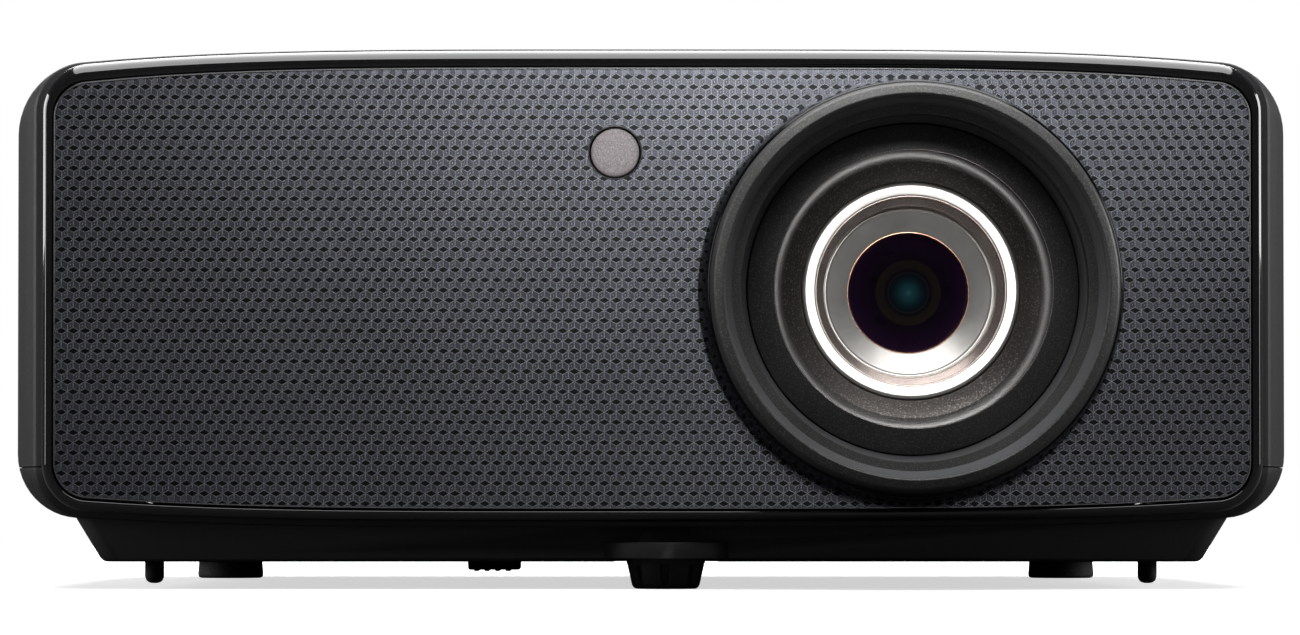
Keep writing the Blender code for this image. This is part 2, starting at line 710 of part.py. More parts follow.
def laser_unit():
    """The laser module and the finned sink on its far side."""
    module = box("laser_module", (LASER_FAR_X, behind(0.074), STAND), (-0.022, behind(0.118), 0.102), 0.0015)
    cut(module, cylinder("beam_port", 0.008, (-0.034, behind(WHEEL_Y), LENS_Z),
                         (0.0, behind(WHEEL_Y), LENS_Z)))
    paint(module, CAST_ALUMINIUM)
    sink = finned_sink("laser_heat_sink", (0.0, behind(0.072), STAND), (0.044, behind(0.120), 0.108),
                       0.004, 8, 0, 1)
    mirror = Matrix.Scale(-1, 4, (1, 0, 0))
    sink.matrix_world = Matrix.Translation((LASER_FAR_X - GAP, 0.0, 0.0)) @ mirror @ sink.matrix_world
    apply_mirror(sink)


def apply_mirror(obj):
    """Write a mirrored placing into the mesh and keep its faces pointing out."""
    bpy.context.view_layer.update()
    obj.data.transform(obj.matrix_world)
    obj.data.flip_normals()
    obj.matrix_world = Matrix.Identity(4)


def phosphor_wheel():
    """The spinning wheel and its motor."""
    place = (WHEEL_X, behind(WHEEL_Y), WHEEL_Z)
    wheel = [(0.0080, 0.0016), (0.0080, 0.0006), (0.0290, 0.0006), (0.0290, -0.0006), (0.0033, -0.0006),
             (0.0033, 0.0016)]
    paint(turned("phosphor_wheel", wheel, place, RIGHT, STEPS_SMALL), PHOSPHOR)
    motor = [(0.0, 0.0040), (0.0030, 0.0040), (0.0030, -0.0010), (0.0110, -0.0010),
             (0.0110, -MOTOR_LENGTH), (0.0, -MOTOR_LENGTH)]
    paint(turned("wheel_motor", motor, place, RIGHT, 16), BARE_ALUMINIUM)


# ---------------------------------------------------------------- fans
def fan(name, side):
    """A fan's square frame with its motor mount, and its rotor."""
    centre = Vector((side * (FAN_OUTER_X - FAN_DEPTH / 2), behind(FAN_CENTRE[0]), FAN_CENTRE[1]))
    half = Vector((FAN_DEPTH / 2, FAN_SIZE / 2, FAN_SIZE / 2))
    frame = box(name + "_fan_frame", centre - half, centre + half)
    reach = Vector((0.02, 0.0, 0.0))
    cut(frame, cylinder("fan_bore", 0.038, centre - reach, centre + reach, STEPS_LARGE))
    inner_x = centre.x - side * FAN_DEPTH / 2
    thick = side * 0.003
    mount = cylinder("motor_mount", 0.015, (inner_x, centre.y, centre.z),
                     (inner_x + thick, centre.y, centre.z))
    join(frame, mount)
    for number in range(3):
        angle = math.radians(90 + 120 * number)
        middle = Vector((inner_x + thick / 2, centre.y + FAN_ARM_REACH * math.cos(angle),
                         centre.z + FAN_ARM_REACH * math.sin(angle)))
        arm = box("fan_arm", (-0.0013, -0.0140, -0.0020), (0.0013, 0.0140, 0.0020))
        arm.rotation_euler = (angle, 0.0, 0.0)
        arm.location = middle
        join(frame, arm)
    paint(frame, FAN_GREY)
    facing = RIGHT if side > 0 else LEFT
    hub = [(0.0, 0.0105), (0.0135, 0.0105), (0.0145, 0.0095), (0.0145, -0.0085), (0.0, -0.0085)]
    rotor = turned(name + "_fan_rotor", hub, centre, facing, STEPS_SMALL)
    for number in range(BLADES):
        blade = box("blade", (0.0130, -0.0080, -0.0008), (0.0365, 0.0080, 0.0008))
        spin = Matrix.Rotation(2 * math.pi * number / BLADES, 4, "Z")
        pitch = Matrix.Rotation(math.radians(35), 4, "X")
        bpy.context.view_layer.update()
        blade.matrix_world = rotor.matrix_world @ spin @ pitch @ blade.matrix_world
        join(rotor, blade)
    paint(rotor, FAN_GREY)


# ---------------------------------------------------------------- electronics and sockets
AUDIO_X = 0.0480
AUDIO_RADIUS = 0.0040
SPEAKER_X = 0.1240
SPEAKER_Z = 0.0900
SOCKET_DEPTH = 0.0130

# (name, x, half width, height, wall, tongue half height)
SOCKETS = (
    ("hdmi_port_1", -0.0700, 0.0075, 0.0062, 0.0006, 0.0006),
    ("hdmi_port_2", -0.0440, 0.0075, 0.0062, 0.0006, 0.0006),
    ("usb_port", -0.0190, 0.0068, 0.0066, 0.0006, 0.0009),
    ("network_port", 0.0130, 0.0080, 0.0134, 0.0012, 0.0),
)


def socket_openings():
    """X, half width and height of each square socket in the rear panel."""
    return [(across, half_width, height) for _, across, half_width, height, _, _ in SOCKETS]


def square_socket(name, across, half_width, height, wall, tongue):
    """A socket shell on the main board, open to the back, with its contact tongue."""
    outer_face = behind(REAR_PANEL_DEPTH)
    inner_face = outer_face - SOCKET_DEPTH
    low = (across - half_width, inner_face, SOCKET_LIFT)
    high = (across + half_width, outer_face, SOCKET_LIFT + height)
    socket = box(name, low, high)
    cut(socket, box("cavity", (low[0] + wall, low[1] + 0.002, low[2] + wall),
                    (high[0] - wall, high[1] + 0.01, high[2] - wall)))
    if tongue > 0:
        middle = SOCKET_LIFT + height / 2
        join(socket, box("tongue", (across - half_width * 0.7, low[1] + 0.001, middle - tongue),
                         (across + half_width * 0.7, high[1] - 0.0015, middle + tongue)))
    return paint(socket, ZINC_STEEL)


def audio_port():
    """The round audio socket, bored from the back."""
    profile = [(0.0, -0.0110), (0.0018, -0.0110), (0.0018, 0.0), (AUDIO_RADIUS, 0.0),
               (AUDIO_RADIUS, -0.0130), (0.0, -0.0130)]
    place = (AUDIO_X, behind(REAR_PANEL_DEPTH), SOCKET_LIFT + AUDIO_RADIUS)
    return paint(turned("audio_port", profile, place, BACKWARD, STEPS_SMALL), SOCKET_BLACK)


def power_inlet():
    """The mains inlet with its flange and three blades."""
    across, up = INLET
    half_width, half_height = INLET_HALF
    face = behind(BODY_DEPTH - 0.0012)
    flange = behind(REAR_PANEL_DEPTH) + GAP
    inner = face - 0.0260
    inlet = box("power_inlet", (across - half_width, inner, up - half_height),
                (across + half_width, face, up + half_height), 0.0008)
    join(inlet, box("flange", (across - half_width - 0.003, flange, up - half_height - 0.002),
                    (across + half_width + 0.003, face - 0.0005, up + half_height + 0.002)))
    cut(inlet, box("cavity", (across - INLET_CAVITY_HALF[0], face - 0.0170, up - INLET_CAVITY_HALF[1]),
                   (across + INLET_CAVITY_HALF[0], face + 0.01, up + INLET_CAVITY_HALF[1])))
    for shift, lift in ((-0.0070, 0.0005), (0.0, 0.0045), (0.0070, 0.0005)):
        join(inlet, box("blade", (across + shift - 0.0010, face - 0.0180, up + lift - 0.0020),
                        (across + shift + 0.0010, face - 0.0030, up + lift + 0.0020)))
    return paint(inlet, SOCKET_BLACK)


def main_board():
    """The main circuit board with its chips."""
    low = BOARD_TOP - 0.0016
    board = box("main_board", (-0.100, behind(0.172), low),
                (0.060, behind(REAR_PANEL_DEPTH - 0.003), BOARD_TOP))
    for across, along, half, height in ((-0.060, 0.205, 0.014, 0.0060), (-0.010, 0.205, 0.011, 0.0030),
                                        (0.030, 0.200, 0.009, 0.0030)):
        join(board, box("chip", (across - half, behind(along) - half, BOARD_TOP - 0.0008),
                        (across + half, behind(along) + half, BOARD_TOP + height)))
    return paint(board, BOARD_GREEN)


def power_supply():
    """The power supply board with its transformer, capacitors and heat spreader."""
    low = STAND + 0.004
    supply = box("power_supply", (-0.095, behind(0.150), low), (0.030, behind(0.232), low + 0.0016))
    top = low + 0.0008
    join(supply, box("transformer", (-0.030, behind(0.165), top), (0.004, behind(0.195), low + 0.028)))
    join(supply, box("spreader", (-0.090, behind(0.212), top), (0.000, behind(0.216), low + 0.030)))
    for along in (0.166, 0.190):
        join(supply, cylinder("capacitor", 0.0095, (-0.066, behind(along), top),
                              (-0.066, behind(along), low + 0.034)))
    return paint(supply, BOARD_GREEN)


def speaker(name, side):
    """A small round speaker that faces the back."""
    profile = [(0.0, -0.0030), (0.0060, -0.0030), (0.0170, 0.0000), (0.0200, 0.0000), (0.0200, -0.0030),
               (0.0120, -0.0120), (0.0120, -0.0200), (0.0, -0.0200)]
    place = (side * SPEAKER_X, behind(REAR_PANEL_DEPTH - REAR_PANEL_THICK) - 0.002, SPEAKER_Z)
    return paint(turned(name, profile, place, BACKWARD, 16), SPEAKER_PAPER)


# ---------------------------------------------------------------- keypad
def keypad():
    """The keypad plate and its seven buttons."""
    middle = behind(KEYPAD_Y)
    round_names = ("power_button", "menu_button", "enter_button")
    outlines = [rounded_rectangle((0.0, 0.0), KEYPAD_HALF[0] - GAP, KEYPAD_HALF[1] - GAP, 0.005 - GAP)]
    for name, across, along, half_width, half_depth in BUTTONS:
        if name in round_names:
            outlines.append(circle((across, along), half_width + GAP, 20))
        else:
            outlines.append(rectangle((across, along), half_width + GAP, half_depth + GAP))
    frame_place = (0.0, middle, KEYPAD_TOP - KEYPAD_THICK / 2)
    paint(plate("keypad_frame", outlines, KEYPAD_THICK, frame_place, UP), GLOSS_BLACK)
    for name, across, along, half_width, half_depth in BUTTONS:
        top = BODY_TOP
        if name in round_names:
            profile = [(0.0, 0.0), (half_width - 0.0004, 0.0), (half_width, -0.0004),
                       (half_width, -BUTTON_DEPTH), (0.0, -BUTTON_DEPTH)]
            button = turned(name, profile, (across, middle + along, top), UP, 20)
        else:
            outline = rounded_rectangle((0.0, 0.0), half_width, half_depth, 0.0008, 2)
            place = (across, middle + along, top - BUTTON_DEPTH / 2)
            button = plate(name, [outline], BUTTON_DEPTH, place, UP)
        paint(button, SATIN_BLACK)


# ---------------------------------------------------------------- feet
def slotted_ring(radius, height, depth=0.0):
    """A ring of points that dips inwards at each of the cap's vertical slots."""
    points = []
    for number in range(CAP_SLOTS):
        middle = CAP_SLOT_TURN + 360 * number / CAP_SLOTS
        for shift, dip in ((-6.6, 0.0), (-6.0, depth), (6.0, depth), (6.6, 0.0), (22.5, 0.0)):
            angle = math.radians(middle + shift)
            reach = radius - dip
            points.append((reach * math.cos(angle), reach * math.sin(angle), height))
    return points


def front_foot():
    """The front foot: a threaded stud and the slotted cap that turns it."""
    place = (FRONT_FOOT[0], behind(FRONT_FOOT[1]), 0.0)
    rings = ((0.0082, 0.0, 0.0), (0.0088, 0.0008, 0.0), (0.00885, 0.0010, 0.0010), (0.0100, 0.0060, 0.0012),
             (0.01005, 0.0062, 0.0), (FOOT_CAP_RADIUS, FOOT_CAP_TOP, 0.0))
    cap = loft("front_foot_cap", [slotted_ring(*ring) for ring in rings])
    cap.location = place
    cut(cap, cylinder("stud_bore", 0.0043, (place[0], place[1], 0.0030), (place[0], place[1], 0.02)))
    paint(cap, SATIN_BLACK)
    stud = [(0.0, 0.0280), (0.0034, 0.0280), (0.0040, 0.0272), (0.0040, 0.0033), (0.0, 0.0033)]
    paint(turned("front_foot_stud", stud, place, UP, STEPS_SMALL), ZINC_STEEL)


def rear_feet():
    """The two rear feet: a round pad on a threaded stud each."""
    pad = [(0.0, 0.0025), (0.0033, 0.0025), (0.0033, 0.0062), (0.0092, 0.0062), (0.0094, 0.0058),
           (0.0098, 0.0008), (0.0090, 0.0), (0.0, 0.0)]
    stud = [(0.0, 0.0160), (0.0026, 0.0160), (0.0030, 0.0154), (0.0030, 0.0028), (0.0, 0.0028)]
    for side, place in foot_places().items():
        paint(turned(f"rear_foot_{side}_pad", pad, (*place, 0.0), UP, 20), RUBBER_BLACK)
        paint(turned(f"rear_foot_{side}_stud", stud, (*place, 0.0), UP, STEPS_TINY), ZINC_STEEL)


def fixed_supports():
    """The two dome-ended posts that stop the body tipping, and the rear stop."""
    post = [(0.0, 0.0115), (0.00255, 0.0115), (0.00255, 0.0028), (0.0018, 0.0016), (0.0, 0.0011)]
    for name, side in (("tip_post_left", -1), ("tip_post_right", 1)):
        place = (side * TIP_POST[0], behind(TIP_POST[1]), 0.0)
        paint(turned(name, post, place, UP, STEPS_TINY), RUBBER_BLACK)
    across = REAR_STOP[0]
    along = behind(REAR_STOP[1])
    paint(box("rear_stop", (across - 0.008, along - 0.006, 0.0018),
              (across + 0.008, along + 0.006, TUB_FLOOR - GAP), 0.0006), RUBBER_BLACK)


def build():
    """Make every piece."""
    clear_scene()
    top_cover()
    bottom_case()
    front_bezel()
    front_panel()
    ir_window()
    side_grille("intake_grille", -1)
    side_grille("exhaust_grille", 1)
    rear_panel()
    case_screws()
    lens()
    base_plate()
    engine_housing()
    mirror_chip_board()
    laser_unit()
    phosphor_wheel()
    fan("intake", -1)
    fan("exhaust", 1)
    main_board()
    power_supply()
    speaker("speaker_left", -1)
    speaker("speaker_right", 1)
    for socket in SOCKETS:
        square_socket(*socket)
    audio_port()
    power_inlet()
    keypad()
    front_foot()
    rear_feet()
    fixed_supports()


build()
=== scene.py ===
"""Looks of the home projector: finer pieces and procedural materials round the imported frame.

Units are metres, +Z is up and the front, with the lens, faces -Y.
"""
import json
import math

import bmesh
import bpy
from mathutils import Matrix, Vector


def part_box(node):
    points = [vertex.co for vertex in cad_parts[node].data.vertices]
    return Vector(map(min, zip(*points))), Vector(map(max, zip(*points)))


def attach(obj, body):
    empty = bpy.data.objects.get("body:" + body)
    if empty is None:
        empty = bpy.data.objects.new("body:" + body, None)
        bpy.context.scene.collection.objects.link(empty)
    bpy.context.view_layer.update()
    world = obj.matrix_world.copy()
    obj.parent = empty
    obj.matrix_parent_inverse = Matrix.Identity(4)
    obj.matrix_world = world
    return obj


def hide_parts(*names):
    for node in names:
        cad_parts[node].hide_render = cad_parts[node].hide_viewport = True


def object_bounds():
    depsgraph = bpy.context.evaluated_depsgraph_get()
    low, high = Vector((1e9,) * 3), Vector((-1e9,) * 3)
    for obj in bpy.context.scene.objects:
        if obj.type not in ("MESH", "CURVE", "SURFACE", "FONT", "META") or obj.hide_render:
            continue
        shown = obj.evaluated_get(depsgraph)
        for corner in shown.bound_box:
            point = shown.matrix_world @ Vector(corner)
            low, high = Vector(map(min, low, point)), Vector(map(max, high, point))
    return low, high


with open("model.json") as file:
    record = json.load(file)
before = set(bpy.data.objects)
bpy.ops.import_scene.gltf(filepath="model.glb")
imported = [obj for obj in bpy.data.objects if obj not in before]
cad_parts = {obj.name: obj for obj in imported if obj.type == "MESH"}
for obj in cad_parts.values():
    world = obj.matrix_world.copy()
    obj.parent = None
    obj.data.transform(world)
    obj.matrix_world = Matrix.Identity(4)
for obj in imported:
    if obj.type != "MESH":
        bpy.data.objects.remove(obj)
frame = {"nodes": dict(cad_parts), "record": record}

CAD_LOW, CAD_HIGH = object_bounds()

# The front lamp is linked to these pieces only, so it lights nothing else.
SHEEN_NAMES = ("panel_", "barrel_", "window", "glass_")
SHEEN = bpy.data.collections.new("sheen")

# ---------------------------------------------------------------- places, from the frame
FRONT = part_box("front_bezel")[0].y
BACK = CAD_HIGH.y
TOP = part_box("top_cover")[1].z
HALF_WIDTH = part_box("top_cover")[1].x
TUB_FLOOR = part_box("case_screw_1")[0].z - 0.0004


def middle(node):
    """The middle of a CAD node's box."""
    low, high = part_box(node)
    return (low + high) / 2


LENS = middle("zoom_ring")
WINDOW = middle("ir_window")

# ---------------------------------------------------------------- sizes (metres)
GAP = 0.0003
WALL = 0.0024
BEZEL_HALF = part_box("front_bezel")[1].x
BEZEL_LOW = 0.0173
BEZEL_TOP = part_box("front_bezel")[1].z
BEZEL_DEPTH = 0.0060
BEZEL_CORNER = 0.0125
CROWN_TOP = 0.0046
CROWN_LOW = 0.0034
PANEL_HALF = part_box("front_panel")[1].x
PANEL_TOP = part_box("front_panel")[1].z
PANEL_LOW = 0.0207
PANEL_CORNER = 0.0090
PANEL_BORE = 0.0469
WINDOW_HOLE = 0.0066
BODY_LOW = 0.0160
SEAM = 0.0315

# body: (distance behind the front plane, half width, corner radius)
BODY_STATIONS = (
    (0.0063, 0.1586, 0.0130),
    (0.0180, 0.1634, 0.0150),
    (0.0380, 0.1673, 0.0170),
    (0.0600, HALF_WIDTH, 0.0180),
    (0.1750, HALF_WIDTH, 0.0180),
    (0.2200, 0.1665, 0.0170),
    (BACK - FRONT, 0.1620, 0.0150),
)

TUB_HALF_TOP = 0.1480
TUB_HALF_LOW = 0.1425
TUB_FRONT = 0.0140
TUB_BACK = BACK - FRONT - 0.0080
TUB_CORNER = 0.0060

GRILLE_START = 0.0750
GRILLE_END = 0.1700
GRILLE_LOW = 0.0420
GRILLE_HIGH = 0.1120
GRILLE_ROWS = 9

# cube pattern on the front panel
CUBE_WIDTH = 0.00305
CUBE_ROW = 0.0026
FACET_INSET = 0.00010
FACET_RISE = 0.00010
FACET_TILT = 0.012

FORWARD = Matrix.Rotation(math.pi / 2, 4, "X")
BACKWARD = Matrix.Rotation(-math.pi / 2, 4, "X")
SIDEWAYS = Matrix.Rotation(math.pi / 2, 4, "Y")
UPRIGHT = Matrix.Identity(4)
MILLIMETRES = Matrix.Scale(0.001, 4)


def behind(distance):
    """The Y of a place this far behind the front plane."""
    return FRONT + distance


# ---------------------------------------------------------------- material building blocks
class Surface:
    """A node material under construction, on object coordinates in metres."""

    def __init__(self, name, metallic=0.0, **constants):
        self.material = bpy.data.materials.new(name)
        self.material.use_nodes = True
        self.tree = self.material.node_tree
        self.shader = self.tree.nodes["Principled BSDF"]
        self.shader.inputs["Metallic"].default_value = metallic
        for socket, value in constants.items():
            self.shader.inputs[socket.replace("_", " ")].default_value = value
        self.coordinates = self.tree.nodes.new("ShaderNodeTexCoord").outputs["Object"]

    def link(self, source, target):
        self.tree.links.new(source, target)

    def stretched(self, scale):
        """Coordinates scaled along each axis."""
        mapping = self.tree.nodes.new("ShaderNodeMapping")
        mapping.inputs["Scale"].default_value = scale
        self.link(self.coordinates, mapping.inputs["Vector"])
        return mapping.outputs["Vector"]

    def noise(self, size, detail=2.0, vector=None):
        """Soft noise with features about this large."""
        node = self.tree.nodes.new("ShaderNodeTexNoise")
        node.inputs["Scale"].default_value = 1 / size
        node.inputs["Detail"].default_value = detail
        self.link(vector or self.coordinates, node.inputs["Vector"])
        return node.outputs["Fac"]

    def cells(self, size, feature="F1"):
        """Rounded cells about this large."""
        node = self.tree.nodes.new("ShaderNodeTexVoronoi")
        node.feature = feature
        node.inputs["Scale"].default_value = 1 / size
        self.link(self.coordinates, node.inputs["Vector"])
        return node.outputs["Distance"]

    def remap(self, value, low, high, start=0.3, end=0.7):
        """A value between start and end moved to between low and high."""
        node = self.tree.nodes.new("ShaderNodeMapRange")
        node.inputs["From Min"].default_value = start
        node.inputs["From Max"].default_value = end
        node.inputs["To Min"].default_value = low
        node.inputs["To Max"].default_value = high
        self.link(value, node.inputs["Value"])
        return node.outputs["Result"]

    def blend(self, amount, first, second):
        """Two colours, or colour sockets, mixed by an amount."""
        node = self.tree.nodes.new("ShaderNodeMix")
        node.data_type = "RGBA"
        self.link(amount, node.inputs["Factor"])
        for socket, colour in (("A", first), ("B", second)):
            target = [item for item in node.inputs if item.name == socket and item.type == "RGBA"][0]
            if isinstance(colour, tuple):
                target.default_value = (*colour, 1.0)
            else:
                self.link(colour, target)
        return [item for item in node.outputs if item.type == "RGBA"][0]

    def sum_of(self, first, second, weight):
        """first + weight * second."""
        node = self.tree.nodes.new("ShaderNodeMath")
        node.operation = "MULTIPLY_ADD"
        node.inputs[1].default_value = weight
        self.link(second, node.inputs[0])
        self.link(first, node.inputs[2])
        return node.outputs[0]

    def lens_radius(self):
        """How far a place is from the lens axis, in metres."""
        shift = self.tree.nodes.new("ShaderNodeVectorMath")
        shift.operation = "SUBTRACT"
        shift.inputs[1].default_value = (LENS.x, 0.0, LENS.z)
        self.link(self.coordinates, shift.inputs[0])
        flat = self.tree.nodes.new("ShaderNodeVectorMath")
        flat.operation = "MULTIPLY"
        flat.inputs[1].default_value = (1.0, 0.0, 1.0)
        self.link(shift.outputs["Vector"], flat.inputs[0])
        length = self.tree.nodes.new("ShaderNodeVectorMath")
        length.operation = "LENGTH"
        self.link(flat.outputs["Vector"], length.inputs[0])
        return length.outputs["Value"]

    def relief(self, height, depth):
        """Bump the surface by a height socket, at most this deep in metres."""
        node = self.tree.nodes.new("ShaderNodeBump")
        node.inputs["Strength"].default_value = 1.0
        node.inputs["Distance"].default_value = depth
        self.link(height, node.inputs["Height"])
        self.link(node.outputs["Normal"], self.shader.inputs["Normal"])

    def colour(self, socket):
        self.link(socket, self.shader.inputs["Base Color"])

    def roughness(self, socket):
        self.link(socket, self.shader.inputs["Roughness"])

    def edges(self, start=0.53, end=0.60):
        """How much a place is a worn outer edge, from 0 to 1."""
        geometry = self.tree.nodes.new("ShaderNodeNewGeometry")
        return self.remap(geometry.outputs["Pointiness"], 0.0, 1.0, start, end)


def plain_finish(name, dark, light, rough, grain, depth, metallic=0.0, speck=None, **constants):
    """A moulded, cast or painted finish: colour drift, fine specks, uneven gloss and grain."""
    surface = Surface(name, metallic, **constants)
    drift = surface.remap(surface.noise(0.030, 3.0), 0.0, 1.0)
    fine = surface.noise(grain, 2.0)
    colour = surface.blend(drift, dark, light)
    if speck is not None:
        specks = surface.remap(surface.noise(grain * 0.7, 0.0), 0.0, 1.0, 0.62, 0.72)
        colour = surface.blend(specks, colour, speck)
    surface.colour(colour)
    surface.roughness(surface.remap(surface.sum_of(fine, drift, 0.3), rough[0], rough[1], 0.35, 0.95))
    surface.relief(fine, depth)
    return surface.material


def leather_grain():
    """Matte black moulding with a fine leather grain."""
    surface = Surface("leather_grain", Specular_IOR_Level=0.40)
    pebbles = surface.cells(0.00085, "SMOOTH_F1")
    creases = surface.noise(0.00040, 3.0)
    drift = surface.noise(0.045, 3.0)
    colour = surface.blend(surface.remap(drift, 0.0, 1.0), (0.012, 0.012, 0.013), (0.017, 0.017, 0.018))
    # Darker in the valleys between the pebbles, where the bump sinks: painted shade.
    colour = surface.blend(surface.remap(pebbles, 0.0, 1.0, 0.05, 0.6), colour, (0.011, 0.011, 0.012))
    surface.colour(surface.blend(surface.edges(), colour, (0.045, 0.045, 0.047)))
    surface.roughness(surface.remap(creases, 0.46, 0.62))
    surface.relief(surface.sum_of(creases, pebbles, -0.9), 0.00003)
    return surface.material


def piano_black():
    """Polished black lacquer with a faint orange peel and hairlines."""
    surface = Surface("piano_black", Coat_Weight=1.0, Coat_Roughness=0.03, Specular_IOR_Level=0.5)
    peel = surface.noise(0.0035, 1.0)
    hairs = surface.noise(0.0009, 4.0, surface.stretched((1.0, 6.0, 0.08)))
    dust = surface.remap(surface.noise(0.00035, 0.0), 0.0, 1.0, 0.70, 0.80)
    surface.colour(surface.blend(dust, (0.0035, 0.0035, 0.0040), (0.020, 0.020, 0.021)))
    surface.roughness(surface.remap(hairs, 0.05, 0.11))
    surface.relief(peel, 0.000004)
    return surface.material


def satin_black(name="satin_black", size=0.00035, depth=0.000018, rough=(0.34, 0.46),
                dark=(0.011, 0.011, 0.012), light=(0.016, 0.016, 0.017)):
    """Satin black moulding or anodised metal with a fine sandy texture."""
    return plain_finish(name, dark, light, rough, size, depth, speck=(0.035, 0.035, 0.037))


def facet(name, dark, light, rough, metallic, gloss=0.25):
    """One kind of facet of the cube pattern."""
    surface = Surface(name, metallic, Specular_IOR_Level=gloss)
    fine = surface.noise(0.00022, 2.0)
    drift = surface.noise(0.040, 2.0)
    sparkle = surface.remap(surface.noise(0.00012, 0.0), 0.0, 1.0, 0.64, 0.74)
    colour = surface.blend(surface.remap(drift, 0.0, 1.0), dark, light)
    surface.colour(surface.blend(sparkle, colour, tuple(2.2 * part for part in light)))
    surface.roughness(surface.remap(fine, *rough))
    surface.relief(fine, 0.000008)
    return surface.material


def speckled_window():
    """Infrared-clear window: mauve grey with fine dark and light specks."""
    surface = Surface("speckled_window", Specular_IOR_Level=0.45)
    dark_specks = surface.remap(surface.noise(0.00030, 2.0), 0.0, 1.0, 0.36, 0.62)
    light_specks = surface.remap(surface.noise(0.00042, 1.0), 0.0, 1.0, 0.60, 0.75)
    colour = surface.blend(dark_specks, (0.165, 0.140, 0.150), (0.330, 0.295, 0.305))
    surface.colour(surface.blend(light_specks, colour, (0.470, 0.430, 0.440)))
    surface.roughness(surface.remap(dark_specks, 0.38, 0.55, 0.0, 1.0))
    surface.relief(dark_specks, 0.000012)
    return surface.material


def lathe_metal(name, dark, light, rough, metallic=0.9, rings=0.00009, depth=0.000005):
    """Turned metal: fine grooves round the lens axis and a satin bloom."""
    surface = Surface(name, metallic)
    grooves = surface.tree.nodes.new("ShaderNodeTexNoise")
    grooves.noise_dimensions = "1D"
    grooves.inputs["Scale"].default_value = 1 / rings
    grooves.inputs["Detail"].default_value = 2.0
    surface.link(surface.lens_radius(), grooves.inputs["W"])
    bloom = surface.noise(0.008, 3.0)
    grain = surface.noise(0.00030, 2.0)
    surface.colour(surface.blend(surface.remap(bloom, 0.0, 1.0), dark, light))
    surface.roughness(surface.remap(surface.sum_of(grain, bloom, 0.5), rough[0], rough[1], 0.4, 1.1))
    surface.relief(surface.sum_of(grooves.outputs["Fac"], grain, 0.8), depth)
    return surface.material


def coated_glass(name, deep, painted_slant_sheen, coat):
    """Dark glass with a tinted anti-reflection coating, whose reflection at a slant is painted into the
    colour as a sheen.
    """
    surface = Surface(name, Coat_Weight=0.6, Coat_Roughness=0.02, IOR=1.60)
    facing = surface.tree.nodes.new("ShaderNodeLayerWeight")
    facing.inputs["Blend"].default_value = 0.35
    haze = surface.noise(0.006, 2.0)
    inner = surface.blend(surface.remap(haze, 0.0, 1.0), deep, tuple(1.5 * part for part in deep))
    # Painted sheen: the colour turns to the slant tint towards grazing angles.
    surface.colour(surface.blend(facing.outputs["Facing"], inner, painted_slant_sheen))
    surface.shader.inputs["Specular Tint"].default_value = (*coat, 1.0)
    surface.shader.inputs["Coat Tint"].default_value = (*coat, 1.0)
    dust = surface.noise(0.0011, 1.0)
    surface.roughness(surface.remap(dust, 0.03, 0.06))
    surface.relief(haze, 0.000002)
    return surface.material


def painted_lens_reflections():
    """Painted reflections on the front element: a violet outer zone, an olive ring and a teal highlight at
    the heart, painted by distance from the lens axis as if seen deep inside.
    """
    surface = Surface("painted_lens_reflections", Specular_IOR_Level=0.10)
    ramp = surface.tree.nodes.new("ShaderNodeValToRGB")
    painted_reflection_stops = ((0.00, (0.060, 0.220, 0.240)), (0.05, (0.020, 0.110, 0.125)), (0.20, (0.004, 0.026, 0.030)),
             (0.28, (0.002, 0.010, 0.012)), (0.30, (0.020, 0.022, 0.018)), (0.33, (0.003, 0.004, 0.005)),
             (0.37, (0.018, 0.016, 0.010)), (0.48, (0.024, 0.020, 0.012)), (0.50, (0.006, 0.004, 0.008)),
             (0.72, (0.014, 0.006, 0.020)), (1.00, (0.030, 0.012, 0.045)))
    while len(ramp.color_ramp.elements) < len(painted_reflection_stops):
        ramp.color_ramp.elements.new(1.0)
    for element, (place, colour) in zip(ramp.color_ramp.elements, painted_reflection_stops):
        element.position = place
        element.color = (*colour, 1.0)
    surface.link(surface.remap(surface.lens_radius(), 0.0, 1.0, 0.0, 0.0172), ramp.inputs["Fac"])
    haze = surface.noise(0.006, 2.0)
    veil = surface.remap(haze, 0.0, 0.25)
    surface.colour(surface.blend(veil, ramp.outputs["Color"], (0.020, 0.010, 0.030)))
    surface.shader.inputs["Specular Tint"].default_value = (0.80, 0.45, 1.0, 1.0)
    surface.roughness(surface.remap(haze, 0.26, 0.34))
    surface.relief(haze, 0.000002)
    return surface.material


def zinc_plate():
    """Zinc-plated steel with a soft spangle."""
    surface = Surface("zinc_plate", 1.0)
    spangle = surface.cells(0.0035)
    scratches = surface.noise(0.0012, 4.0, surface.stretched((0.2, 1.0, 1.0)))
    shine = surface.remap(spangle, 0.0, 1.0, 0.0, 0.8)
    surface.colour(surface.blend(shine, (0.42, 0.43, 0.44), (0.60, 0.61, 0.62)))
    surface.roughness(surface.remap(surface.sum_of(scratches, spangle, 0.3), 0.25, 0.48, 0.3, 0.9))
    surface.relief(scratches, 0.000006)
    return surface.material


def brushed_aluminium():
    """Extruded aluminium with drawn lines."""
    surface = Surface("brushed_aluminium", 1.0)
    lines = surface.noise(0.00025, 3.0, surface.stretched((1.0, 1.0, 0.03)))
    bloom = surface.noise(0.010, 2.0)
    surface.colour(surface.blend(surface.remap(bloom, 0.0, 1.0), (0.52, 0.53, 0.54), (0.68, 0.69, 0.70)))
    surface.roughness(surface.remap(lines, 0.28, 0.46))
    surface.relief(lines, 0.000010)
    return surface.material


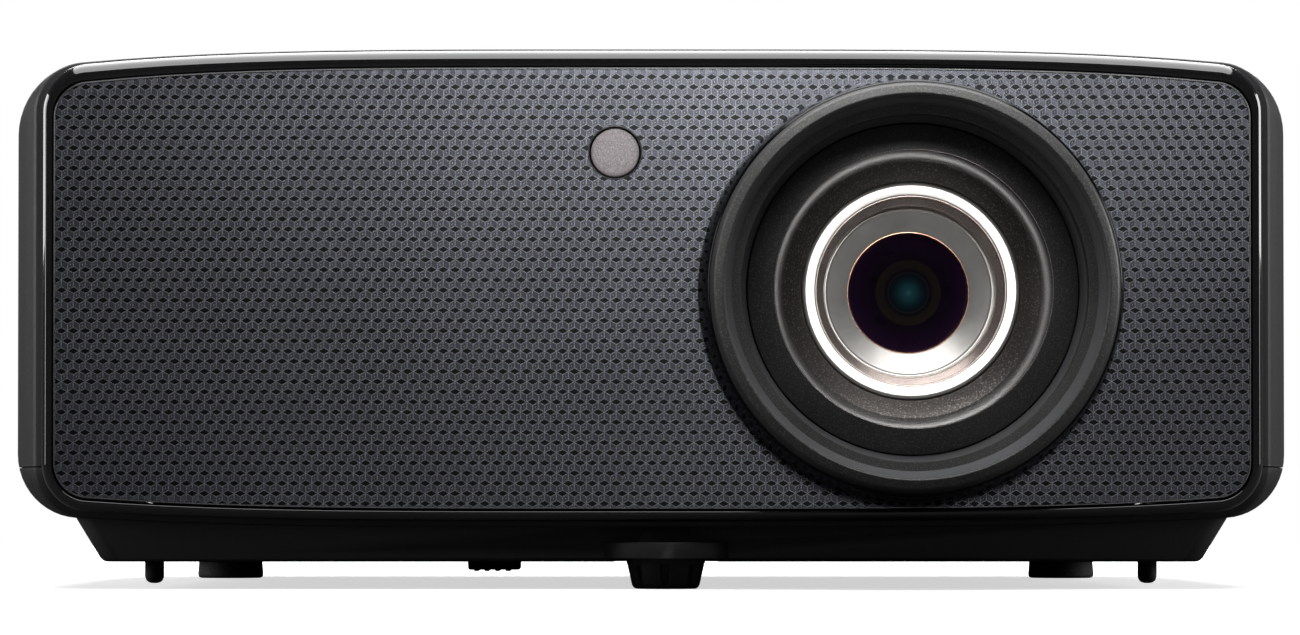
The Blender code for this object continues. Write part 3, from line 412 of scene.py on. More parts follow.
def circuit_board():
    """Green solder mask over copper tracks and pads."""
    surface = Surface("circuit_board", 0.0, Coat_Weight=0.4, Coat_Roughness=0.15)
    tracks = surface.tree.nodes.new("ShaderNodeTexBrick")
    tracks.inputs["Scale"].default_value = 260.0
    tracks.inputs["Mortar Size"].default_value = 0.035
    tracks.inputs["Color1"].default_value = (0.010, 0.085, 0.045, 1.0)
    tracks.inputs["Color2"].default_value = (0.016, 0.110, 0.058, 1.0)
    tracks.inputs["Mortar"].default_value = (0.035, 0.190, 0.090, 1.0)
    surface.link(surface.coordinates, tracks.inputs["Vector"])
    pads = surface.remap(surface.cells(0.0040), 1.0, 0.0, 0.08, 0.12)
    surface.colour(surface.blend(pads, tracks.outputs["Color"], (0.420, 0.400, 0.340)))
    fine = surface.noise(0.0006, 2.0)
    surface.roughness(surface.remap(fine, 0.32, 0.50))
    surface.relief(surface.sum_of(fine, tracks.outputs["Fac"], 1.5), 0.000015)
    return surface.material


def phosphor_coat():
    """Yellow phosphor grains on a metal disc."""
    surface = Surface("phosphor_coat", 0.0)
    grains = surface.cells(0.00035)
    drift = surface.noise(0.006, 2.0)
    colour = surface.blend(surface.remap(drift, 0.0, 1.0), (0.70, 0.52, 0.07), (0.84, 0.68, 0.14))
    surface.colour(surface.blend(surface.remap(grains, 0.0, 0.5, 0.2, 0.8), colour, (0.45, 0.33, 0.05)))
    surface.roughness(surface.remap(grains, 0.50, 0.75, 0.1, 0.8))
    surface.relief(grains, 0.00004)
    return surface.material


def speaker_paper():
    """Felted paper cone."""
    surface = Surface("speaker_paper", 0.0, Sheen_Weight=0.25, Sheen_Roughness=0.5)
    fibres = surface.noise(0.0006, 5.0, surface.stretched((1.0, 1.0, 0.25)))
    felt = surface.remap(fibres, 0.0, 1.0)
    surface.colour(surface.blend(felt, (0.020, 0.020, 0.022), (0.045, 0.044, 0.044)))
    surface.roughness(surface.remap(fibres, 0.68, 0.88))
    surface.relief(fibres, 0.00005)
    return surface.material


MATERIALS = {
    "grain_black": leather_grain(),
    "gloss_black": piano_black(),
    "satin_black": satin_black(),
    "pattern_grey": facet("pattern_base", (0.060, 0.062, 0.068), (0.085, 0.087, 0.094), (0.30, 0.42), 0.3),
    "window_mauve": speckled_window(),
    "satin_silver": lathe_metal("satin_silver", (0.62, 0.600, 0.57), (0.72, 0.700, 0.67), (0.30, 0.46)),
    "coated_glass": coated_glass("coated_glass", (0.012, 0.008, 0.020), (0.060, 0.025, 0.090),
                                 (0.72, 0.55, 0.95)),
    "bare_aluminium": brushed_aluminium(),
    "cast_aluminium": plain_finish("cast_aluminium", (0.28, 0.29, 0.30), (0.38, 0.39, 0.40), (0.40, 0.62),
                                   0.0009, 0.00006, 1.0, (0.46, 0.47, 0.48)),
    "zinc_steel": zinc_plate(),
    "board_green": circuit_board(),
    "fan_grey": plain_finish("fan_grey", (0.030, 0.032, 0.034), (0.045, 0.047, 0.050), (0.42, 0.60),
                             0.0007, 0.00003, speck=(0.070, 0.072, 0.075)),
    "phosphor_coat": phosphor_coat(),
    "rubber_black": plain_finish("rubber_black", (0.010, 0.010, 0.010), (0.018, 0.018, 0.018), (0.68, 0.86),
                                 0.0006, 0.00004, speck=(0.040, 0.039, 0.038)),
    "socket_black": plain_finish("socket_black", (0.013, 0.013, 0.013), (0.021, 0.021, 0.021), (0.42, 0.58),
                                 0.0005, 0.00002, speck=(0.045, 0.045, 0.045)),
    "speaker_paper": speaker_paper(),
}


# ---------------------------------------------------------------- mesh building blocks
def finish_piece(name, mesh, body, slot, material=None, replaces=(), crease=32):
    """Make a mesh a piece that rides on a body and stands for some CAD nodes."""
    piece = bpy.data.objects.new(name, mesh)
    bpy.context.scene.collection.objects.link(piece)
    mesh.materials.clear()
    mesh.materials.append(material or MATERIALS[slot])
    mesh.shade_smooth()
    mesh.set_sharp_from_angle(angle=math.radians(crease))
    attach(piece, body)
    if replaces:
        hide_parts(*replaces)
    if name.startswith(SHEEN_NAMES):
        SHEEN.objects.link(piece)
    return piece


def mesh_from(name, shape):
    """Turn an edited mesh into mesh data with its faces pointing out."""
    bmesh.ops.remove_doubles(shape, verts=shape.verts, dist=0.0000005)
    bmesh.ops.recalc_face_normals(shape, faces=shape.faces)
    mesh = bpy.data.meshes.new(name)
    shape.to_mesh(mesh)
    shape.free()
    return mesh


def joined(name, meshes):
    """Several meshes as one."""
    shape = bmesh.new()
    for mesh in meshes:
        shape.from_mesh(mesh)
    result = bpy.data.meshes.new(name)
    shape.to_mesh(result)
    shape.free()
    return result


def carve(mesh, tool, operation="DIFFERENCE"):
    """The mesh cut or joined with a tool mesh."""
    target = bpy.data.objects.new("carve_target", mesh)
    cutter = bpy.data.objects.new("carve_tool", tool)
    for obj in (target, cutter):
        bpy.context.scene.collection.objects.link(obj)
    boolean = target.modifiers.new("carve", "BOOLEAN")
    boolean.operation = operation
    boolean.solver = "EXACT"
    boolean.object = cutter
    bpy.context.view_layer.update()
    graph = bpy.context.evaluated_depsgraph_get()
    result = bpy.data.meshes.new_from_object(target.evaluated_get(graph))
    for obj in (target, cutter):
        bpy.data.objects.remove(obj, do_unlink=True)
    return result


def skin(name, rings, around=True, capped=False, matrix=UPRIGHT):
    """Quads between rings of equally many points; the rings close on themselves if around is set."""
    shape = bmesh.new()
    rows = [[shape.verts.new(matrix @ Vector(point)) for point in ring] for ring in rings]
    pairs = list(zip(rows, rows[1:]))
    if around:
        pairs.append((rows[-1], rows[0]))
    count = len(rows[0])
    for first, second in pairs:
        for index in range(count):
            after = (index + 1) % count
            shape.faces.new((first[index], first[after], second[after], second[index]))
    if capped:
        shape.faces.new(rows[0])
        shape.faces.new(rows[-1])
    return mesh_from(name, shape)


def softened(profile, radius, steps=3):
    """A closed profile with each corner rounded."""
    points = []
    count = len(profile)
    for index, corner in enumerate(profile):
        corner = Vector(corner)
        before = Vector(profile[index - 1]) - corner
        after = Vector(profile[(index + 1) % count]) - corner
        reach_in = min(radius, before.length * 0.45)
        reach_out = min(radius, after.length * 0.45)
        start = corner + before.normalized() * reach_in
        end = corner + after.normalized() * reach_out
        for step in range(steps + 1):
            share = step / steps
            points.append((1 - share) ** 2 * start + 2 * share * (1 - share) * corner + share ** 2 * end)
    return [(point.x, point.y) for point in points]


def turned(name, profile, matrix, steps=160):
    """A ring turned from a closed profile of (radius, height) round the matrix's own Z."""
    rings = []
    for step in range(steps):
        angle = 2 * math.pi * step / steps
        rings.append([(radius * math.cos(angle), radius * math.sin(angle), height)
                      for radius, height in profile])
    return skin(name, rings, matrix=matrix)


def solid_turned(name, profile, matrix, steps=96):
    """A solid turned from an open profile whose ends lie on the axis."""
    shape = bmesh.new()
    rows = []
    for radius, height in profile:
        if radius < 0.000001:
            rows.append([shape.verts.new(matrix @ Vector((0.0, 0.0, height)))])
        else:
            rows.append([shape.verts.new(matrix @ Vector((radius * math.cos(2 * math.pi * step / steps),
                                                          radius * math.sin(2 * math.pi * step / steps),
                                                          height))) for step in range(steps)])
    for first, second in zip(rows, rows[1:]):
        for step in range(steps):
            after = (step + 1) % steps
            corners = (first[step % len(first)], first[after % len(first)],
                       second[after % len(second)], second[step % len(second)])
            unique = list(dict.fromkeys(corners))
            if len(unique) > 2:
                shape.faces.new(unique)
    return mesh_from(name, shape)


def plate(name, outlines, thickness, matrix, rounding=0.0003, roundness=2):
    """A flat plate with rounded edges: the first outline is its edge and the others are holes."""
    curve = bpy.data.curves.new(name, "CURVE")
    curve.dimensions = "2D"
    curve.fill_mode = "BOTH"
    curve.extrude = thickness / 2 - rounding
    curve.bevel_depth = rounding
    curve.bevel_resolution = roundness
    curve.offset = -rounding
    for outline in outlines:
        spline = curve.splines.new("POLY")
        spline.points.add(len(outline) - 1)
        for point, (across, up) in zip(spline.points, outline):
            point.co = (across, up, 0.0, 1.0)
        spline.use_cyclic_u = True
    source = bpy.data.objects.new(name + "_curve", curve)
    bpy.context.scene.collection.objects.link(source)
    bpy.context.view_layer.update()
    graph = bpy.context.evaluated_depsgraph_get()
    mesh = bpy.data.meshes.new_from_object(source.evaluated_get(graph))
    bpy.data.objects.remove(source, do_unlink=True)
    shape = bmesh.new()
    shape.from_mesh(mesh)
    bmesh.ops.transform(shape, matrix=matrix, verts=shape.verts)
    return mesh_from(name, shape)


def block(name, low, high, bevel=0.0, segments=3):
    """A box between two corners with rounded edges."""
    shape = bmesh.new()
    bmesh.ops.create_cube(shape, size=1.0)
    size = Vector(high) - Vector(low)
    place = (Vector(high) + Vector(low)) / 2
    bmesh.ops.scale(shape, vec=size, verts=shape.verts)
    bmesh.ops.translate(shape, vec=place, verts=shape.verts)
    if bevel > 0:
        bmesh.ops.bevel(shape, geom=shape.edges[:], offset=bevel, segments=segments, profile=0.5,
                        affect="EDGES")
    return mesh_from(name, shape)


# ---------------------------------------------------------------- outlines
def arc(centre, radius, start_deg, end_deg, steps):
    """Points along a circular arc, both ends included."""
    angles = [math.radians(start_deg + (end_deg - start_deg) * step / steps) for step in range(steps + 1)]
    return [(centre[0] + radius * math.cos(angle), centre[1] + radius * math.sin(angle))
            for angle in angles]


def circle(centre, radius, steps=64):
    """A closed round outline."""
    return arc(centre, radius, 0, 360 - 360 / steps, steps - 1)


def rounded_rectangle(centre, half_width, half_height, radius, steps=6):
    """A closed rectangle with round corners, anticlockwise."""
    points = []
    for across, up, start in ((1, 1, 0), (-1, 1, 90), (-1, -1, 180), (1, -1, 270)):
        corner = (centre[0] + across * (half_width - radius), centre[1] + up * (half_height - radius))
        points += arc(corner, radius, start, start + 90, steps)
    return points


def crowned_quarter(half_width, height, corner, crown, edge_steps=14, arc_steps=12):
    """A crowned edge and its round corner, from the middle of the edge out to the side."""
    turn_in = half_width - corner
    tilt = math.atan(4 * crown / half_width * (turn_in / half_width) ** 3)
    edge_end = turn_in + corner * math.sin(tilt)
    points = []
    for step in range(edge_steps):
        across = edge_end * step / edge_steps
        points.append((across, height - crown * (across / half_width) ** 4))
    edge_height = height - crown * (edge_end / half_width) ** 4
    centre = (turn_in, edge_height - corner * math.cos(tilt))
    points += arc(centre, corner, 90 - math.degrees(tilt), 0, arc_steps)
    return points


def crowned_outline(half_width, low, high, corner):
    """The body's closed outline in X and Z, anticlockwise from the top middle."""
    top = crowned_quarter(half_width, high, corner, CROWN_TOP)
    bottom = [(across, -up) for across, up in crowned_quarter(half_width, -low, corner, CROWN_LOW)]
    left_top = [(-across, up) for across, up in top]
    left_bottom = [(-across, up) for across, up in bottom]
    return left_top + left_bottom[::-1] + bottom[1:] + top[:0:-1]


def eased_stations(rounds=3):
    """The body's stations with their corners cut off again and again, which leaves a smooth line."""
    stations = [Vector(station) for station in BODY_STATIONS]
    for _ in range(rounds):
        eased = [stations[0]]
        for first, second in zip(stations, stations[1:]):
            eased += [first * 0.75 + second * 0.25, first * 0.25 + second * 0.75]
        stations = eased + [stations[-1]]
    return stations


# ---------------------------------------------------------------- casing
def body_shell():
    """The body's wall as one closed shape, open at the front and back, with eased mouths."""
    stations = eased_stations()
    ease = 0.0007
    rings = []

    def ring(station, inset, shift=0.0):
        distance, half_width, corner = station
        outline = crowned_outline(half_width - inset, BODY_LOW + inset, TOP - inset, corner - inset)
        rings.append([(across, behind(distance + shift), up) for across, up in outline])

    first, last = stations[0], stations[-1]
    ring(first, ease)
    ring(first, ease * 0.3, ease * 0.3)
    ring(first, 0.0, ease)
    for station in stations[1:-1]:
        if first[0] + ease < station[0] < last[0] - ease:
            ring(station, 0.0)
    ring(last, 0.0, -ease)
    ring(last, ease * 0.3, -ease * 0.3)
    ring(last, ease)
    for station in reversed(stations):
        ring(station, WALL)
    return skin("body_shell", rings)


def casing():
    """The top cover and the lower shell, either side of the seam."""
    shell = body_shell()
    above = block("above", (-0.2, -0.3, SEAM + GAP / 2), (0.2, 0.3, 0.3))
    below = block("below", (-0.2, -0.3, -0.1), (0.2, 0.3, SEAM - GAP / 2))
    cover = carve(shell.copy(), above, "INTERSECT")
    opening = rounded_rectangle((0.0, 0.0), (GRILLE_HIGH - GRILLE_LOW) / 2,
                                (GRILLE_END - GRILLE_START) / 2, 0.0010)
    keypad_low, keypad_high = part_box("keypad_frame")
    keypad_middle = (keypad_low + keypad_high) / 2
    keypad_half = (keypad_high - keypad_low) / 2
    keypad_edge = rounded_rectangle((0.0, 0.0), keypad_half.x + GAP, keypad_half.y + GAP, 0.005)
    tools = [plate("keypad_opening", [keypad_edge], 0.02, Matrix.Translation((0.0, keypad_middle.y, TOP)))]
    for side in (-1, 1):
        place = Vector((side * HALF_WIDTH, behind((GRILLE_START + GRILLE_END) / 2),
                        (GRILLE_LOW + GRILLE_HIGH) / 2))
        tools.append(plate("grille_opening", [opening], 0.02, Matrix.Translation(place) @ SIDEWAYS))
    cover = carve(cover, joined("openings", tools))
    finish_piece("cover_shell", cover, "chassis", "grain_black", replaces=["top_cover"])
    lower = carve(shell, below, "INTERSECT")
    finish_piece("lower_shell", lower, "chassis", "grain_black", replaces=["bottom_case"])


def tub_ring(height, inset, edge):
    """One level of the tub's outline."""
    slope = (TUB_HALF_TOP - TUB_HALF_LOW) / (BODY_LOW - TUB_FLOOR)
    half_width = TUB_HALF_LOW + slope * (height - TUB_FLOOR) - inset - edge
    half_depth = (TUB_BACK - TUB_FRONT) / 2 - inset - edge
    centre = (0.0, behind((TUB_FRONT + TUB_BACK) / 2))
    outline = rounded_rectangle(centre, half_width, half_depth, TUB_CORNER - inset - edge, 8)
    return [(across, along, height) for across, along in outline]


def tub():
    """The tapered tub with its floor, foot recess, bosses and holes."""
    rings = []
    for height, edge in ((TUB_FLOOR, 0.0012), (TUB_FLOOR + 0.00012, 0.0007), (TUB_FLOOR + 0.0004, 0.0003),
                         (TUB_FLOOR + 0.0010, 0.0), (BODY_LOW + 0.0024, 0.0)):
        rings.append(tub_ring(height, 0.0, edge))
    floor = skin("tub", rings, around=False, capped=True)
    hollow = [tub_ring(height, WALL, 0.0) for height in (TUB_FLOOR + WALL, BODY_LOW + 0.010)]
    floor = carve(floor, skin("tub_space", hollow, around=False, capped=True))
    foot = middle("front_foot_stud")
    at_foot = Matrix.Translation((foot.x, foot.y, 0.0))
    pad = plate("seat_pad", [circle((foot.x, foot.y), 0.0170, 48)], 0.0042,
                Matrix.Translation((0.0, 0.0, 0.0100)), 0.0002)
    collar = [(0.0074, BODY_LOW + 0.003), (0.0079, BODY_LOW + 0.001), (0.0100, 0.0082),
              (0.0098, 0.0080), (0.0043, 0.0080), (0.0043, BODY_LOW + 0.003)]
    cone = turned("foot_collar", softened(collar, 0.0002, 2), at_foot, 72)
    floor = carve(floor, pad, "UNION")
    recess_profile = [(0.0, 0.0086), (0.0112, 0.0086), (0.0136, 0.0078), (0.01425, 0.0070),
                      (0.01425, 0.0), (0.0, 0.0)]
    recess = solid_turned("foot_recess", recess_profile, at_foot, 68)
    bore = solid_turned("bore", [(0.0, 0.02), (0.0072, 0.02), (0.0072, 0.0), (0.0, 0.0)], at_foot, 60)
    floor = carve(floor, recess)
    floor = carve(floor, bore)
    finish_piece("foot_collar", cone, "chassis", "grain_black", replaces=["bottom_case"], crease=40)
    tools = []
    bosses = []
    for name in ("rear_foot_left_stud", "rear_foot_right_stud"):
        place = middle(name)
        tools.append((place, 0.0052))
        bosses.append((place, 0.0070, 0.0034))
    for number in range(1, 5):
        place = middle(f"case_screw_{number}")
        tools.append((place, 0.0039))
        bosses.append((place, 0.0046, 0.0032))
    for across, distance in ((-0.080, 0.075), (0.080, 0.075), (0.0, 0.205)):
        place = Vector((across, behind(distance), 0.0))
        tools.append((place, 0.0038))
        bosses.append((place, 0.0055, 0.0020))
    for name in ("tip_post_left", "tip_post_right"):
        tools.append((middle(name), 0.00295))
    cutters = [solid_turned("hole", [(0.0, 0.0120), (radius, 0.0120), (radius, 0.0), (0.0, 0.0)],
                            Matrix.Translation((place.x, place.y, 0.0)), 28) for place, radius in tools]
    floor = carve(floor, joined("holes", cutters))
    finish_piece("tub", floor, "chassis", "grain_black", replaces=["bottom_case"])
    rings = []
    for place, outer, hole in bosses:
        foot_height = TUB_FLOOR + 0.0004
        corners = [(outer, 0.0140), (outer, foot_height), (hole, foot_height), (hole, 0.0140)]
        profile = softened(corners, 0.0003, 3)
        rings.append(turned("boss", profile, Matrix.Translation((place.x, place.y, 0.0)), 40))
    finish_piece("floor_bosses", joined("floor_bosses", rings), "chassis", "grain_black",
                 replaces=["bottom_case"])


def bezel():
    """The glossy convex ring round the panel."""
    section = ((0.00, 0.0022), (0.00, 0.0010), (0.03, 0.0004), (0.10, 0.0001), (0.25, 0.0), (0.45, 0.0001),
               (0.62, 0.0004), (0.76, 0.0009), (0.87, 0.0016), (0.94, 0.0024), (0.985, 0.0034), (1.0, 0.0045),
               (1.0, BEZEL_DEPTH - 0.0002), (0.97, BEZEL_DEPTH), (0.03, BEZEL_DEPTH),
               (0.0, BEZEL_DEPTH - 0.0002))
    rings = []
    for share, distance in section:
        def between(inner, outer, share=share):
            return inner + (outer - inner) * share
        outline = crowned_outline(between(PANEL_HALF + GAP, BEZEL_HALF), between(PANEL_LOW - GAP, BEZEL_LOW),
                                  between(PANEL_TOP + GAP, BEZEL_TOP), between(PANEL_CORNER, BEZEL_CORNER))
        rings.append([(across, behind(distance), up) for across, up in outline])
    finish_piece("bezel", skin("bezel", rings), "chassis", "gloss_black", replaces=["front_bezel"], crease=60)


# ---------------------------------------------------------------- patterned front panel
def offset_along(corner, point, normal):
    """How far a corner is from a point, along a direction."""
    return (corner[0] - point[0]) * normal[0] + (corner[1] - point[1]) * normal[1]


def clip(polygon, point, normal):
    """The part of a polygon on the far side of a line through the point, along its normal."""
    kept = []
    distances = [offset_along(corner, point, normal) for corner in polygon]
    for index, corner in enumerate(polygon):
        before = polygon[index - 1]
        if (distances[index - 1] < 0) != (distances[index] < 0):
            share = distances[index - 1] / (distances[index - 1] - distances[index])
            kept.append((before[0] + (corner[0] - before[0]) * share,
                         before[1] + (corner[1] - before[1]) * share))
        if distances[index] >= 0:
            kept.append(corner)
    return kept


def trimmed(polygon, border, bores):
    """A facet cut to the panel's border and clear of its round bores."""
    for number, start in enumerate(border):
        end = border[(number + 1) % len(border)]
        if not polygon:
            return polygon
        along = (end[0] - start[0], end[1] - start[1])
        normal = (-along[1], along[0])
        if min(offset_along(corner, start, normal) for corner in polygon) < 0:
            polygon = clip(polygon, start, normal)
    for centre, radius in bores:
        if not polygon:
            return polygon
        nearest = min(polygon, key=lambda corner: math.hypot(corner[0] - centre[0], corner[1] - centre[1]))
        away = (nearest[0] - centre[0], nearest[1] - centre[1])
        distance = math.hypot(*away)
        if distance < radius:
            middle_x = sum(corner[0] for corner in polygon) / len(polygon) - centre[0]
            middle_z = sum(corner[1] for corner in polygon) / len(polygon) - centre[1]
            reach = math.hypot(middle_x, middle_z)
            direction = (middle_x / reach, middle_z / reach)
            edge = (centre[0] + direction[0] * radius, centre[1] + direction[1] * radius)
            polygon = clip(polygon, edge, direction)
    return polygon


def facet_mesh(name, polygons, tilt, rise):
    """Low raised facets with sloped sides, each tilted the same way."""
    points = []
    faces = []
    for polygon in polygons:
        count = len(polygon)
        centre_x = sum(corner[0] for corner in polygon) / count
        centre_z = sum(corner[1] for corner in polygon) / count
        first = len(points)
        points += [(across, PANEL_FACE, up) for across, up in polygon]
        for across, up in polygon:
            away = math.hypot(across - centre_x, up - centre_z) or 1.0
            share = max(0.0, 1 - 0.9 * FACET_INSET / away)
            near_x = centre_x + (across - centre_x) * share
            near_z = centre_z + (up - centre_z) * share
            lift = rise + tilt[0] * (near_x - centre_x) + tilt[1] * (near_z - centre_z)
            points.append((near_x, PANEL_FACE - lift, near_z))
        faces.append([first + count + index for index in range(count)])
        faces += [(first + index, first + (index + 1) % count, first + count + (index + 1) % count,
                   first + count + index) for index in range(count)]
    mesh = bpy.data.meshes.new(name)
    mesh.from_pydata(points, [], faces)
    shape = bmesh.new()
    shape.from_mesh(mesh)
    bmesh.ops.recalc_face_normals(shape, faces=shape.faces)
    shape.to_mesh(mesh)
    shape.free()
    return mesh


PANEL_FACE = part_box("front_panel")[0].y + 0.00012


def shrunk(polygon, share):
    """A polygon drawn in towards its middle."""
    centre_x = sum(corner[0] for corner in polygon) / len(polygon)
    centre_z = sum(corner[1] for corner in polygon) / len(polygon)
    return [(centre_x + (across - centre_x) * share, centre_z + (up - centre_z) * share)
            for across, up in polygon]


def cube_facets(border, bores):
    """The pattern's facets by kind: the cubes' dark tops, their two grey sides and the small diamonds."""
    kinds = {"tops": [], "lefts": [], "rights": [], "diamonds": [], "hearts": []}
    half = CUBE_WIDTH / 2
    tall = CUBE_ROW / 1.5
    rows = int((PANEL_TOP - PANEL_LOW) / CUBE_ROW) + 3
    columns = int(2 * PANEL_HALF / CUBE_WIDTH) + 3
    low_x = min(corner[0] for corner in border)
    low_z = min(corner[1] for corner in border)
    for row in range(rows):
        for column in range(columns):
            across = low_x + (column + 0.5 * (row % 2)) * CUBE_WIDTH
            up = low_z + row * CUBE_ROW
            centre = (across, up)
            upper_right, lower_right = (across + half, up + tall / 2), (across + half, up - tall / 2)
            upper_left, lower_left = (across - half, up + tall / 2), (across - half, up - tall / 2)
            crown, foot = (across, up + tall), (across, up - tall)
            shapes = {
                "tops": shrunk([centre, upper_right, crown, upper_left], 0.90),
                "lefts": shrunk([centre, upper_left, lower_left, foot], 0.90),
                "rights": shrunk([centre, foot, lower_right, upper_right], 0.90),
            }
            for kind, polygon in shapes.items():
                kept = trimmed(polygon, border, bores)
                if len(kept) < 3:
                    continue
                kinds[kind].append(kept)
                if kind == "rights" and kept == polygon:
                    kinds["diamonds"].append(shrunk(polygon, 0.56))
                    kinds["hearts"].append(shrunk(polygon, 0.34))
    return kinds


def front_panel():
    """The panel's sheet, its raised cube pattern and the thin rims round its edge and bores."""
    depth = 0.0022 + (FRONT - PANEL_FACE)
    outline = crowned_outline(PANEL_HALF, PANEL_LOW, PANEL_TOP, PANEL_CORNER)
    holes = [circle((LENS.x, LENS.z), PANEL_BORE, 180), circle((WINDOW.x, WINDOW.z), WINDOW_HOLE, 72)]
    sheet = plate("panel_sheet", [outline] + holes, depth,
                  Matrix.Translation((0.0, PANEL_FACE + depth / 2, 0.0)) @ FORWARD, 0.00005, 0)
    base = facet("pattern_lines", (0.050, 0.052, 0.060), (0.065, 0.068, 0.078), (0.24, 0.30), 0.60)
    finish_piece("panel_sheet", sheet, "chassis", "pattern_grey", base, ["front_panel"])
    rim = 0.00045
    border = crowned_outline(PANEL_HALF - rim, PANEL_LOW + rim, PANEL_TOP - rim, PANEL_CORNER - rim)
    bores = [((LENS.x, LENS.z), PANEL_BORE + 0.0002), ((WINDOW.x, WINDOW.z), WINDOW_HOLE + 0.00030)]
    kinds = cube_facets(border, bores)
    top_look = facet("pattern_tops", (0.0010, 0.0010, 0.0013), (0.0020, 0.0020, 0.0024), (0.20, 0.25),
                     0.0, 0.04)
    left_look = facet("pattern_lefts", (0.019, 0.020, 0.025), (0.025, 0.026, 0.032), (0.20, 0.25), 0.60)
    right_look = facet("pattern_rights", (0.028, 0.029, 0.034), (0.035, 0.036, 0.042), (0.20, 0.25), 0.60)
    for name, look, tilt, rise in (("tops", top_look, (0.0, -FACET_TILT), FACET_RISE * 0.8),
                                   ("lefts", left_look, (FACET_TILT, FACET_TILT * 0.5), FACET_RISE),
                                   ("rights", right_look, (-FACET_TILT, FACET_TILT * 0.5), FACET_RISE)):
        finish_piece("panel_" + name, facet_mesh("panel_" + name, kinds[name], tilt, rise), "chassis",
                     "pattern_grey", look, ["front_panel"], 1)
    right_tilt = (-FACET_TILT, FACET_TILT * 0.5)
    for name, look, rise in (("diamonds", top_look, FACET_RISE * 1.35), ("hearts", base, FACET_RISE * 1.6)):
        finish_piece("panel_" + name, facet_mesh("panel_" + name, kinds[name], right_tilt, rise),
                     "chassis", "pattern_grey", look, ["front_panel"], 1)
    rings = []
    for inset, lift in ((0.0, -0.0004), (0.0, 0.00008), (0.00012, 0.00022), (0.00030, 0.00022),
                        (rim, 0.00002), (rim, -0.0004)):
        outline = crowned_outline(PANEL_HALF - inset, PANEL_LOW + inset, PANEL_TOP - inset,
                                  PANEL_CORNER - inset)
        rings.append([(across, PANEL_FACE - lift, up) for across, up in outline])
    finish_piece("panel_edge", skin("panel_edge", rings), "chassis", "pattern_grey",
                 satin_black("panel_edge_black", rough=(0.22, 0.32)), ["front_panel"], 40)
    rims = []
    for place, bore, width in ((LENS, PANEL_BORE, 0.0004), (WINDOW, WINDOW_HOLE, 0.00045)):
        profile = softened([(bore, -0.0015), (bore, 0.00020), (bore + width * 0.6, 0.00020),
                            (bore + width, -0.00005), (bore + width, -0.0015)], 0.00012, 2)
        rims.append(turned("rim", profile, Matrix.Translation((place.x, PANEL_FACE, place.z)) @ FORWARD, 144))
    finish_piece("panel_rims", joined("panel_rims", rims), "chassis", "pattern_grey",
                 satin_black("rim_black", rough=(0.18, 0.28)), ["front_panel"])


def window():
    """The domed infrared window in its dark well."""
    profile = [(0.0, 0.00050), (0.0030, 0.00048), (0.0050, 0.00042), (0.0058, 0.00034), (0.0061, 0.00018),
               (0.00617, -0.00005), (0.00617, -0.0030), (0.0, -0.0030)]
    matrix = Matrix.Translation((WINDOW.x, FRONT, WINDOW.z)) @ FORWARD
    finish_piece("window", solid_turned("window", profile, matrix, 96), "chassis", "window_mauve",
                 replaces=["ir_window"], crease=50)


# ---------------------------------------------------------------- lens
def lens_piece(name, profile, body, slot, replaced, material=None, rounding=0.25, steps=200, crease=30):
    """A turned ring in millimetres: radii, and heights in front of the front plane."""
    matrix = Matrix.Translation((LENS.x, FRONT, LENS.z)) @ FORWARD @ MILLIMETRES
    mesh = turned(name, softened(profile, rounding), matrix, steps)
    return finish_piece(name, mesh, body, slot, material, replaced, crease)


def lens_glass(name, radius, front, front_sag, back, back_sag, body, node, material):
    """A polished lens element in millimetres, with curved faces and a ground edge."""
    steps = 16
    front_face = [(radius * step / steps, front - front_sag * (step / steps) ** 2)
                  for step in range(steps + 1)]
    back_face = [(radius * step / steps, back - back_sag * (step / steps) ** 2)
                 for step in range(steps, -1, -1)]
    matrix = Matrix.Translation((LENS.x, FRONT, LENS.z)) @ FORWARD @ MILLIMETRES
    mesh = solid_turned(name, front_face + back_face, matrix, 128)
    return finish_piece(name, mesh, body, "coated_glass", material, [node], 30)


